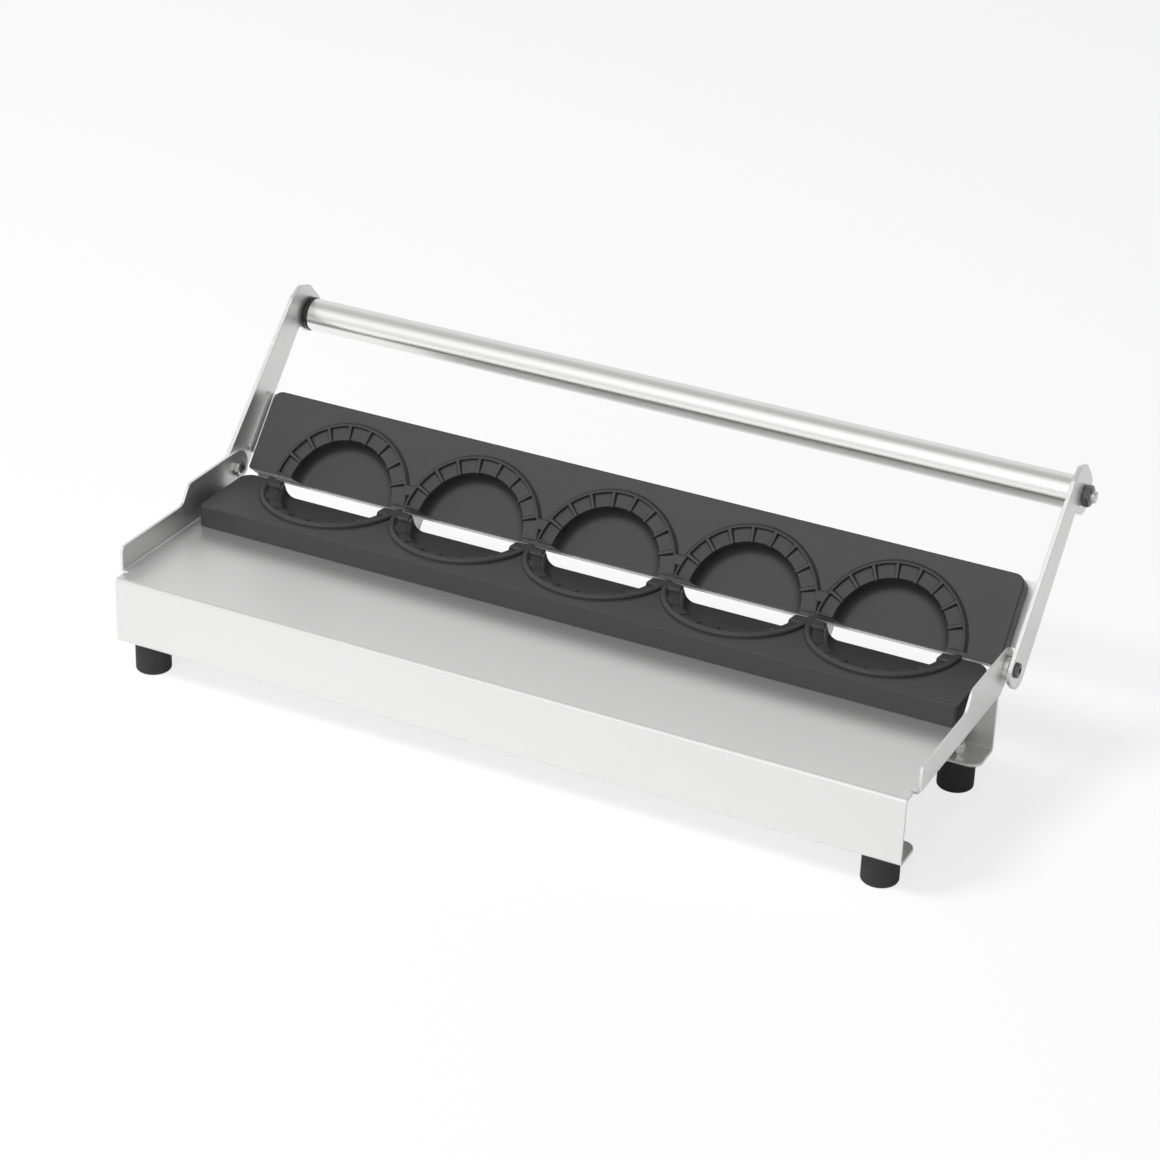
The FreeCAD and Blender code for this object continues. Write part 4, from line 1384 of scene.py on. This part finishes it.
@dataclass
class DieFasteners:
    """Screws and washers that hold the mould plates from behind."""

    bench: Bench
    pattern: Pattern
    across: float = 152.25
    lower_rows: Spot = (107.0, 139.0)
    upper_rows: Spot = (16.0, 48.0)
    table: float = 69.0
    base_sheet: float = 2.0
    lid_rear: float = 20.0
    shank: float = 2.5
    shank_long: float = 9.0
    head: float = 4.75
    head_high: float = 3.2
    head_edge: float = 1.4
    cross_reach: float = 2.5
    cross_wide: float = 1.2
    cross_deep: float = 1.5
    washer: float = 6.0
    washer_thick: float = 1.0

    def screw(self) -> Solid:
        """One pan head screw with a cross recess, its head's seat on the origin."""
        low, wide, reach = -self.head_high, self.cross_wide, self.cross_reach
        floor = low + self.cross_deep
        recess = [Ring(floor, 0.0), Ring(floor, reach * 0.9, Section.CROSS, wide),
                  Ring(low, reach, Section.CROSS, wide)]
        body = [(reach * 1.05, low, 0.0), (self.head, low, self.head_edge), (self.head, 0.0, 0.2),
                (self.shank, 0.0, 0.0), (self.shank, self.shank_long, 0.4), (0.0, self.shank_long, 0.0)]
        return Solid().turn(recess + soft_rings(body), steps=CROSS_STEPS)

    def ring(self) -> Solid:
        """One flat washer."""
        rings = washer_rings(self.shank, self.washer, self.washer_thick, WASHER_EDGE)
        return Solid().turn(rings, True, SMALL_STEPS)

    def build(self) -> None:
        """Makes the groups of both plates."""
        layout = self.bench.layout
        under = self.table - self.base_sheet - self.washer_thick
        behind = -self.lid_rear - self.washer_thick
        plates = (("lower", "base", layout.base(), self.lower_rows, under),
                  ("upper", "lid", layout.lid(), self.upper_rows, behind))
        for word, body, frame_place, rows, seat in plates:
            values = {"Across": 2 * self.across, "Deep": rows[1] - rows[0], "Columns": 2, "Rows": 2}
            place = frame_place @ Matrix.Translation((0, sum(rows) / 2, seat))
            for kind, solid in (("screws", self.screw()), ("washers", self.ring())):
                mesh = self.bench.repeated(f"{word}_plate_{kind}", solid, self.pattern, values,
                                           "bright_fastener", place)
                self.bench.piece(mesh, "bright_fastener", body, f"{word}_die_{kind}")


@dataclass(frozen=True)
class Lamp:
    """One soft area lamp that faces the press."""

    name: str
    place: Spot3
    watts: float
    size: float


@dataclass
class Studio:
    """Pale floor, soft light and the camera."""

    azimuth: float = math.radians(25.917)
    elevation: float = math.radians(27.434)
    roll: float = math.radians(2.108)
    lens: float = 99.54
    stand: Spot3 = (0.812510, -1.686368, 1.051316)
    floor_half: float = 14.0
    floor_level: float = 0.97
    floor_glow: float = 0.76
    floor_mirrored: float = 0.15
    sky: float = 0.30
    wall_top: float = 0.6
    ceiling_drop: float = 0.45
    shade_from: float = 0.15
    shade_wide: float = 0.5
    shade_drop: float = 0.6
    box_aim: Spot3 = (0.10, -0.66, 0.74)
    box_from: float = 0.70
    box_wide: float = 0.24
    box_level: float = 0.75
    sensor: float = 36.0
    sight: float = 100.0
    lamp_aim: Spot3 = (0.0, 0.0, 0.08)
    lamps: tuple[Lamp, ...] = (Lamp("key_upper_left", (-1.5, -1.6, 3.35), 112.0, 1.4),
                               Lamp("fill_front", (-0.45, -4.05, 1.9), 32.0, 3.0))

    def camera(self) -> None:
        """Sets the camera at the photograph's viewing angle."""
        data = bpy.data.cameras.new("camera")
        data.lens = self.lens
        data.sensor_width = self.sensor
        data.clip_end = self.sight
        made = bpy.data.objects.new("camera", data)
        level = math.cos(self.elevation)
        back = Vector((math.sin(self.azimuth) * level, -math.cos(self.azimuth) * level,
                       math.sin(self.elevation)))
        right = Vector((math.cos(self.azimuth), math.sin(self.azimuth), 0.0))
        up = back.cross(right)
        cosine, sine = math.cos(self.roll), math.sin(self.roll)
        turned = Matrix((right * cosine + up * sine, up * cosine - right * sine, back)).transposed()
        made.matrix_world = Matrix.Translation(self.stand) @ turned.to_4x4()
        bpy.context.scene.collection.objects.link(made)
        bpy.context.scene.camera = made

    def seen(self, graph: Graph) -> Wire:
        """1 for rays that show the background, 0 for rays that only light."""
        path = graph.node("ShaderNodeLightPath")
        shown = path["Is Camera Ray"] + path["Is Glossy Ray"] + path["Is Transmission Ray"]
        return shown.at_most(1.0)

    def floor(self) -> None:
        """Lays the floor, which keeps the shadow."""
        half = self.floor_half
        mesh = bpy.data.meshes.new("floor")
        mesh.from_pydata([(-half, -half, 0), (half, -half, 0), (half, half, 0), (-half, half, 0)], [],
                         [(0, 1, 2, 3)])
        material = bpy.data.materials.new("pale_floor")
        material.use_nodes = True
        material.node_tree.nodes.clear()
        graph = Graph(material.node_tree)
        matt = graph.node("ShaderNodeBsdfDiffuse", None, {"Color": (*grey(self.floor_level), 1.0)})["BSDF"]
        glow = graph.node("ShaderNodeEmission", None, {"Strength": 1.0})["Emission"]
        path = graph.node("ShaderNodeLightPath")
        mirrored = (path["Is Glossy Ray"] + path["Is Transmission Ray"]) * self.floor_mirrored
        share = path["Is Camera Ray"] * self.floor_glow + mirrored
        mixed = graph.node("ShaderNodeMixShader", None, {0: share, 1: matt, 2: glow})["Shader"]
        graph.node("ShaderNodeOutputMaterial", None, {"Surface": mixed})
        mesh.materials.append(material)
        made = bpy.data.objects.new("floor", mesh)
        bpy.context.scene.collection.objects.link(made)

    def world(self) -> None:
        """Sets a white surround that lights softly."""
        world = bpy.data.worlds.new("surround")
        bpy.context.scene.world = world
        world.use_nodes = True
        world.node_tree.nodes.clear()
        graph = Graph(world.node_tree)
        aim = graph.node("ShaderNodeTexCoord")["Generated"]
        parts = graph.node("ShaderNodeSeparateXYZ", None, {0: aim})
        ceiling = ((parts["Z"] - self.wall_top) / (1.0 - self.wall_top)).at_least(0.0)
        right = ((parts["X"] - self.shade_from) / self.shade_wide).at_least(0.0).at_most(1.0)
        shade = (1.0 - ceiling * self.ceiling_drop) * (1.0 - right * self.shade_drop)
        across, along, up = self.box_aim
        toward = parts["X"] * across + parts["Y"] * along + parts["Z"] * up
        box = ((toward - self.box_from) / self.box_wide).at_least(0.0).at_most(1.0) * self.box_level
        shown = graph.node("ShaderNodeLightPath")["Is Camera Ray"]
        level = self.seen(graph) * (1.0 - self.sky) + self.sky
        strength = shown + (1.0 - shown) * (level * shade + box)
        light = graph.node("ShaderNodeBackground", None, {"Strength": strength})["Background"]
        graph.node("ShaderNodeOutputWorld", None, {"Surface": light})

    def hang(self, lamp: Lamp) -> None:
        """Hangs one lamp, unseen by the camera and in reflections."""
        data = bpy.data.lights.new(lamp.name, "AREA")
        data.energy = lamp.watts
        data.shape = "DISK"
        data.size = lamp.size
        made = bpy.data.objects.new(lamp.name, data)
        aim = Vector(self.lamp_aim) - Vector(lamp.place)
        turned = aim.to_track_quat("-Z", "Y").to_matrix().to_4x4()
        made.matrix_world = Matrix.Translation(lamp.place) @ turned
        made.visible_camera = False
        made.visible_glossy = False
        bpy.context.scene.collection.objects.link(made)

    def build(self) -> None:
        """Sets the whole studio."""
        bpy.context.scene.view_settings.view_transform = "Standard"
        self.camera()
        self.floor()
        self.world()
        for lamp in self.lamps:
            self.hang(lamp)


BOWL = ((37.2, -9.8, 8.0),)
LOWER_RING = ((52.5, 0.0, 0.0), (52.3, 2.6, 2.0), (49.2, 2.6, 1.5), (46.6, 0.2, 1.0), (39.6, -1.4, 1.0))
UPPER_RING = ((52.5, 0.0, 0.0), (50.5, 2.6, 0.5), (49.4, 2.6, 0.3), (48.7, 0.5, 0.2), (39.6, 1.4, 0.5))
LOWER_FACE_Z = 85.0
UPPER_FACE_BACK = 5.0


def mould_plates(bench: Bench) -> tuple[MouldPlate, MouldPlate]:
    """Lower and upper mould plates with their sizes."""
    layout = bench.layout
    lower_lift = Matrix.Translation((0, layout.pivot_y, LOWER_FACE_Z))
    lower_place = layout.base() @ lower_lift @ Matrix.Rotation(math.pi, 4, "Z")
    upper_place = layout.lid() @ Matrix.Translation((0, 0, -UPPER_FACE_BACK))
    lower = MouldPlate(bench, "lower_mould_plate", "lower_die", "base", width=550.0, near=2.2, far=60.5,
                       thick=16.0, near_corner=9.0, far_corner=3.0, edge=1.2,
                       profile=LOWER_RING + BOWL, place=lower_place)
    upper = MouldPlate(bench, "upper_mould_plate", "upper_die", "lid", width=555.0, near=3.0, far=61.5,
                       thick=13.5, near_corner=2.0, far_corner=7.0, edge=1.0,
                       profile=UPPER_RING + BOWL, place=upper_place)
    return lower, upper


# Sections of the crimps: a share of the half width, and a share of the height above the foot.
RIDGE = ((-1.0, 0.0), (-1.0, 0.66), (-0.5, 0.97), (-0.4, 1.0), (0.4, 1.0), (0.5, 0.97), (1.0, 0.66),
         (1.0, 0.0))
TOOTH = ((-1.0, 0.0), (-0.95, 0.7), (-0.87, 0.9), (-0.74, 1.0), (0.74, 1.0), (0.87, 0.9), (0.95, 0.7),
         (1.0, 0.0))
WEB = ((-1.0, 0.0), (-1.0, 0.9), (-0.9, 1.0), (0.9, 1.0), (1.0, 0.9), (1.0, 0.0))

# Stations of the crimps: radius, half width and height.
RIDGE_AT = ((38.6, 1.6, 1.2), (39.2, 1.9, 2.4), (40.0, 2.0, 2.6), (49.0, 2.1, 2.6), (49.8, 1.9, 2.3))
TOOTH_AT = ((39.3, 4.2, -1.4), (40.1, 4.6, -0.4), (44.6, 5.2, 0.7), (47.2, 5.5, 1.3), (48.0, 5.5, 1.2))
PAD_AT = ((39.4, 4.2, 0.6), (40.2, 4.4, 1.6), (46.0, 5.3, 2.2), (50.0, 5.9, 2.4))
BAR_AT = ((38.8, 0.35, 1.2), (39.4, 0.45, 2.4), (40.0, 0.5, 2.6), (49.0, 1.3, 2.6), (49.6, 1.2, 2.3))
WEB_AT = ((11.2, 2.0, 1.6), (12.0, 2.3, 2.5), (17.0, 3.6, 2.5), (18.4, 4.0, 2.3), (19.2, 3.9, 1.0))

RIDGE_FOOT, TOOTH_FOOT, WEB_FOOT = -3.0, -5.0, -0.4
RIDGE_COUNT, TOOTH_COUNT, END_COUNT = 8, 7, 2
RIDGE_FIRST, TOOTH_FIRST = math.radians(23.675), math.radians(33.15)
PAD_ANGLE, BAR_ANGLE = math.radians(9.6), math.radians(5.1)


def crimps(bench: Bench, fans: Pattern, lower: MouldPlate, upper: MouldPlate) -> None:
    """Makes the ridges, webs, teeth, pads and bars on both plates."""
    pads_apart, bars_apart = math.pi - 2 * PAD_ANGLE, math.pi - 2 * BAR_ANGLE
    CrimpBlocks(bench, fans, upper, "upper_crimp_ridges", RIDGE_AT, RIDGE, RIDGE_FOOT, RIDGE_COUNT,
                RIDGE_FIRST).build()
    CrimpBlocks(bench, fans, upper, "upper_ring_webs", WEB_AT, WEB, WEB_FOOT, 1, QUARTER,
                moulds=upper.moulds - 1).build()
    CrimpBlocks(bench, fans, lower, "lower_crimp_teeth", TOOTH_AT, TOOTH, TOOTH_FOOT, TOOTH_COUNT,
                TOOTH_FIRST).build()
    CrimpBlocks(bench, fans, lower, "lower_crimp_ends", PAD_AT, TOOTH, TOOTH_FOOT, END_COUNT, PAD_ANGLE,
                pads_apart).build()
    CrimpBlocks(bench, fans, upper, "upper_crimp_ends", BAR_AT, RIDGE, RIDGE_FOOT, END_COUNT, BAR_ANGLE,
                bars_apart).build()


def main() -> None:
    """Builds every piece in order, then sets the studio."""
    logging.basicConfig(level=logging.INFO, format="%(name)s: %(message)s")
    bench = Bench()
    grid, fans = Pattern.grid(), Pattern.fans()
    FoldedBase(bench).build()
    lower, upper = mould_plates(bench)
    lower.build()
    upper.build()
    crimps(bench, fans, lower, upper)
    LidFrame(bench).build()
    Handle(bench).build()
    Pivots(bench).build()
    Feet(bench, grid).build()
    DieFasteners(bench, grid).build()
    Studio().build()


if __name__ == "__main__":
    main()
